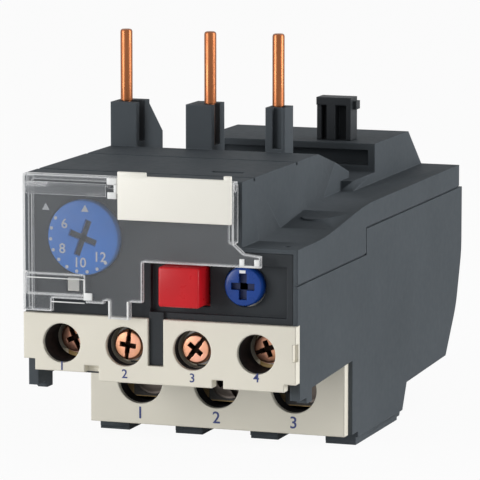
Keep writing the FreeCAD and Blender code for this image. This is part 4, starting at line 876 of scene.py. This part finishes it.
class RELAY_OT_make_legend(RelayOperator):
    """Bare white legend plate with soft edges"""

    bl_idname = "relay.make_legend"
    bl_label = "Legend plate"

    def execute(self, context):
        low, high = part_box("legend_plate")
        mesh = bmesh.new()
        tab = 0.6 * MM
        slab(mesh, low, Vector((high.x, high.y, high.z - tab)))
        bmesh.ops.bevel(mesh, geom=list(mesh.edges), offset=0.14 * MM, segments=3, profile=0.5, affect="EDGES",
                        clamp_overlap=True, material=-1)
        for left, right in ((low.x, low.x + 4.7 * MM), (high.x - 1.2 * MM, high.x)):
            verts = slab(mesh, Vector((left, low.y + 0.02 * MM, high.z - tab - 0.3 * MM)),
                         Vector((right, high.y, high.z)))
            edges = {edge for vert in verts for edge in vert.link_edges}
            bmesh.ops.bevel(mesh, geom=list(edges), offset=0.1 * MM, segments=2, profile=0.5,
                            affect="EDGES", clamp_overlap=True, material=-1)
        plate = finish_piece("legend", mesh, "white", "cover")
        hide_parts("legend_plate")
        return {"FINISHED"}


class RELAY_OT_make_cover_trim(RelayOperator):
    """Frosted lug, band and clips on the clear cover, and thin white strips along its window and tab that are
    painted highlights of its edges
    """

    bl_idname = "relay.make_cover_trim"
    bl_label = "Cover trim"

    def execute(self, context):
        low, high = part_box("clear_cover")
        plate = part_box("legend_plate")[0]
        lug = plate.x - 0.15 * MM
        self.make("cover_lug", "frosted_and_highlight_white", [
            (lug - 1.7 * MM, lug, high.z - 1.15 * MM, high.z - 0.1 * MM),
            (lug - 0.55 * MM, lug, high.z - 2.5 * MM, high.z - 0.9 * MM),
            (lug - 1.6 * MM, lug - 0.1 * MM, high.z - 3.35 * MM, high.z - 2.3 * MM),
        ], low.y, 0.35 * MM)
        tab = low.x + 14.2 * MM
        notch = low.x + 10.5 * MM
        tail = high.x
        lintel = middle("stop_button").z + 3.45 * MM
        self.make("cover_clips_and_edge_highlights", "frosted_and_highlight_white", [
            (notch - 0.3 * MM, notch + 1.1 * MM, low.z + 2.7 * MM, low.z + 3.9 * MM),
            # Two thin white strips down the sides of the tab: painted highlights of its edges.
            (tab + 0.05 * MM, tab + 0.40 * MM, low.z + 0.1 * MM, low.z + 2.9 * MM),
            (tab + 3.1 * MM, tab + 3.45 * MM, low.z + 0.1 * MM, low.z + 2.9 * MM),
            (tail - 3.3 * MM, tail - 2.5 * MM, lintel + 0.15 * MM, lintel + 1.35 * MM),
            (tail - 0.9 * MM, tail - 0.15 * MM, lintel + 0.15 * MM, lintel + 1.35 * MM),
            (tail - 3.3 * MM, tail - 0.15 * MM, lintel + 0.05 * MM, lintel + 0.35 * MM),
        ], low.y, 0.14 * MM)
        sill = low.z + 2.1 * MM
        # Thin white strips round the window: painted highlights of the cover's step edges.
        self.make("window_edge_highlights", "frosted_and_highlight_white", [
            (low.x + 0.6 * MM, low.x + 10.35 * MM, sill + 3.75 * MM, sill + 3.95 * MM),
            (low.x + 10.1 * MM, low.x + 10.4 * MM, sill + 0.6 * MM, sill + 3.85 * MM),
            (low.x + 4.7 * MM, low.x + 10.3 * MM, sill + 0.05 * MM, sill + 0.25 * MM),
        ], low.y, 0.06 * MM)
        self.make("cover_band", "band", [
            (low.x + 0.5 * MM, lug - 1.9 * MM, high.z - 3.1 * MM, high.z - 1.1 * MM),
        ], low.y, 0.12 * MM)
        return {"FINISHED"}

    def make(self, name, finish, blocks, front, thickness):
        """Small bevelled blocks that stand on the cover's face, each (left, right, bottom, top)."""
        mesh = bmesh.new()
        for left, right, bottom, top in blocks:
            verts = slab(mesh, Vector((left, front - thickness, bottom)), Vector((right, front + 0.05 * MM, top)))
            edges = {edge for vert in verts for edge in vert.link_edges}
            bmesh.ops.bevel(mesh, geom=list(edges), offset=0.08 * MM, segments=2, profile=0.5,
                            affect="EDGES", clamp_overlap=True, material=-1)
        return finish_piece(name, mesh, finish, "cover")


class RELAY_OT_make_marks(RelayOperator):
    """Plain figures under the terminals"""

    bl_idname = "relay.make_marks"
    bl_label = "Terminal figures"

    INK = 0.02 * MM
    CONTROL_SHARE = 0.72
    INNER_RISE, OUTER_RISE, POWER_RISE = 1.35, 2.0, 1.75

    def execute(self, context):
        height = context.scene.relay_sizes.terminal_figure
        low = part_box("control_terminal_block")[0]
        for number in CONTROLS:
            across = middle("control_clamp_%d" % number).x
            rise = self.OUTER_RISE if number in (1, 4) else self.INNER_RISE
            spot = Vector((across, low.y - self.INK, low.z + rise * MM))
            write("control_figure_%d" % number, str(number), height * self.CONTROL_SHARE, spot, "housing",
                  "ink blue")
        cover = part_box("power_terminal_cover")[0]
        for number in PHASES:
            across = middle("power_clamp_%d" % number).x
            spot = Vector((across, cover.y - self.INK, cover.z + self.POWER_RISE * MM))
            write("power_figure_%d" % number, str(number), height, spot, "housing", "ink blue")
        return {"FINISHED"}


class RELAY_OT_make_stage(RelayOperator):
    """Pale floor, soft lamps and the camera"""

    bl_idname = "relay.make_stage"
    bl_label = "Stage"

    def execute(self, context):
        self.make_floor()
        self.make_world(context.scene)
        power = context.scene.relay_sizes.lamp_power
        target = Vector((0.0, 0.0, 0.028))
        self.lamp("right", Vector((0.70, 0.06, 0.14)), target, 0.35, power)
        self.lamp("left", Vector((-0.50, -0.50, 0.12)), target, 0.35, power)
        self.make_camera(context.scene)
        context.scene.view_settings.view_transform = "Standard"
        return {"FINISHED"}

    def make_floor(self):
        mesh = bmesh.new()
        bmesh.ops.create_grid(mesh, x_segments=1, y_segments=1, size=4.0)
        data = bpy.data.meshes.new("floor")
        mesh.to_mesh(data)
        mesh.free()
        floor = bpy.data.objects.new("floor", data)
        bpy.context.scene.collection.objects.link(floor)
        material, tree, surface, place = shader("floor")
        surface.inputs["Roughness"].default_value = 0.8
        tone = blend_colours(tree, noise(tree, place, 6.0), (0.86, 0.86, 0.86), (0.90, 0.90, 0.90))
        tree.links.new(tone, surface.inputs["Base Color"])
        output = next(node for node in tree.nodes if node.type == "OUTPUT_MATERIAL")
        glow = tree.nodes.new("ShaderNodeEmission")
        glow.inputs["Color"].default_value = (1.0, 1.0, 1.0, 1.0)
        mix = tree.nodes.new("ShaderNodeMixShader")
        share = tree.nodes.new("ShaderNodeMath")
        share.operation = "MULTIPLY"
        share.inputs[1].default_value = 0.94
        tree.links.new(self.seen_rays(tree), share.inputs[0])
        tree.links.new(share.outputs["Value"], mix.inputs["Fac"])
        tree.links.new(surface.outputs["BSDF"], mix.inputs[1])
        tree.links.new(glow.outputs["Emission"], mix.inputs[2])
        tree.links.new(mix.outputs["Shader"], output.inputs["Surface"])
        data.materials.append(material)

    def seen_rays(self, tree):
        """One for the rays that show the surroundings: straight, through clear parts or off gloss."""
        path = tree.nodes.new("ShaderNodeLightPath")
        seen = path.outputs["Is Camera Ray"]
        for name in ("Is Transmission Ray", "Is Glossy Ray"):
            either = tree.nodes.new("ShaderNodeMath")
            either.operation = "MAXIMUM"
            tree.links.new(seen, either.inputs[0])
            tree.links.new(path.outputs[name], either.inputs[1])
            seen = either.outputs["Value"]
        return seen

    def make_world(self, scene):
        world = bpy.data.worlds.new("studio")
        scene.world = world
        world.use_nodes = True
        tree = world.node_tree
        tree.nodes.clear()
        output = tree.nodes.new("ShaderNodeOutputWorld")
        ambient = tree.nodes.new("ShaderNodeBackground")
        ambient.inputs["Color"].default_value = (1.0, 1.0, 1.0, 1.0)
        ambient.inputs["Strength"].default_value = 0.32
        seen = tree.nodes.new("ShaderNodeBackground")
        seen.inputs["Color"].default_value = (1.0, 1.0, 1.0, 1.0)
        seen.inputs["Strength"].default_value = 1.0
        mix = tree.nodes.new("ShaderNodeMixShader")
        tree.links.new(self.seen_rays(tree), mix.inputs["Fac"])
        tree.links.new(ambient.outputs["Background"], mix.inputs[1])
        tree.links.new(seen.outputs["Background"], mix.inputs[2])
        tree.links.new(mix.outputs["Shader"], output.inputs["Surface"])

    def lamp(self, name, place, target, width, power):
        data = bpy.data.lights.new(name, "AREA")
        data.shape = "SQUARE"
        data.size = width
        data.energy = power
        lamp = bpy.data.objects.new(name, data)
        lamp.location = place
        lamp.rotation_euler = (target - place).to_track_quat("-Z", "Y").to_euler()
        bpy.context.scene.collection.objects.link(lamp)

    def make_camera(self, scene):
        data = bpy.data.cameras.new("camera")
        data.sensor_width = 36.0
        data.lens = 292.2
        data.clip_end = 20.0
        camera = bpy.data.objects.new("camera", data)
        camera.location = (0.20839, -0.60302, 0.12359)
        camera.rotation_euler = Euler((math.radians(81.72), 0.0, math.radians(19.24)), "XYZ")
        scene.collection.objects.link(camera)
        scene.camera = camera


OPERATORS = (
    RELAY_OT_dress_nodes, RELAY_OT_make_shells, RELAY_OT_make_setting_dial,
    RELAY_OT_make_stop_button, RELAY_OT_make_reset_knob, RELAY_OT_make_screws,
    RELAY_OT_make_wells, RELAY_OT_make_pins, RELAY_OT_make_legend, RELAY_OT_make_cover_trim,
    RELAY_OT_make_marks, RELAY_OT_make_stage,
)


class RELAY_PT_panel(bpy.types.Panel):
    """Lists the relay's colours, sizes and operators."""

    bl_label = "Relay"
    bl_idname = "RELAY_PT_panel"
    bl_space_type = "VIEW_3D"
    bl_region_type = "UI"
    bl_category = "Relay"

    def draw(self, context):
        layout = self.layout
        for group in (context.scene.relay_colours, context.scene.relay_sizes):
            for key in group.__class__.__annotations__:
                layout.prop(group, key)
        for operator in OPERATORS:
            layout.operator(operator.bl_idname)


CLASSES = (RelayColours, RelaySizes, *OPERATORS, RELAY_PT_panel)


def register():
    for item in CLASSES:
        bpy.utils.register_class(item)
    bpy.types.Scene.relay_colours = bpy.props.PointerProperty(type=RelayColours)
    bpy.types.Scene.relay_sizes = bpy.props.PointerProperty(type=RelaySizes)


def unregister():
    del bpy.types.Scene.relay_sizes
    del bpy.types.Scene.relay_colours
    for item in reversed(CLASSES):
        bpy.utils.unregister_class(item)


def main():
    register()
    bpy.ops.relay.dress_nodes()
    bpy.ops.relay.make_shells()
    bpy.ops.relay.make_setting_dial()
    bpy.ops.relay.make_stop_button()
    bpy.ops.relay.make_reset_knob()
    bpy.ops.relay.make_screws()
    bpy.ops.relay.make_wells()
    bpy.ops.relay.make_pins()
    bpy.ops.relay.make_legend()
    bpy.ops.relay.make_cover_trim()
    bpy.ops.relay.make_marks()
    bpy.ops.relay.make_stage()


if __name__ == "__main__":
    main()
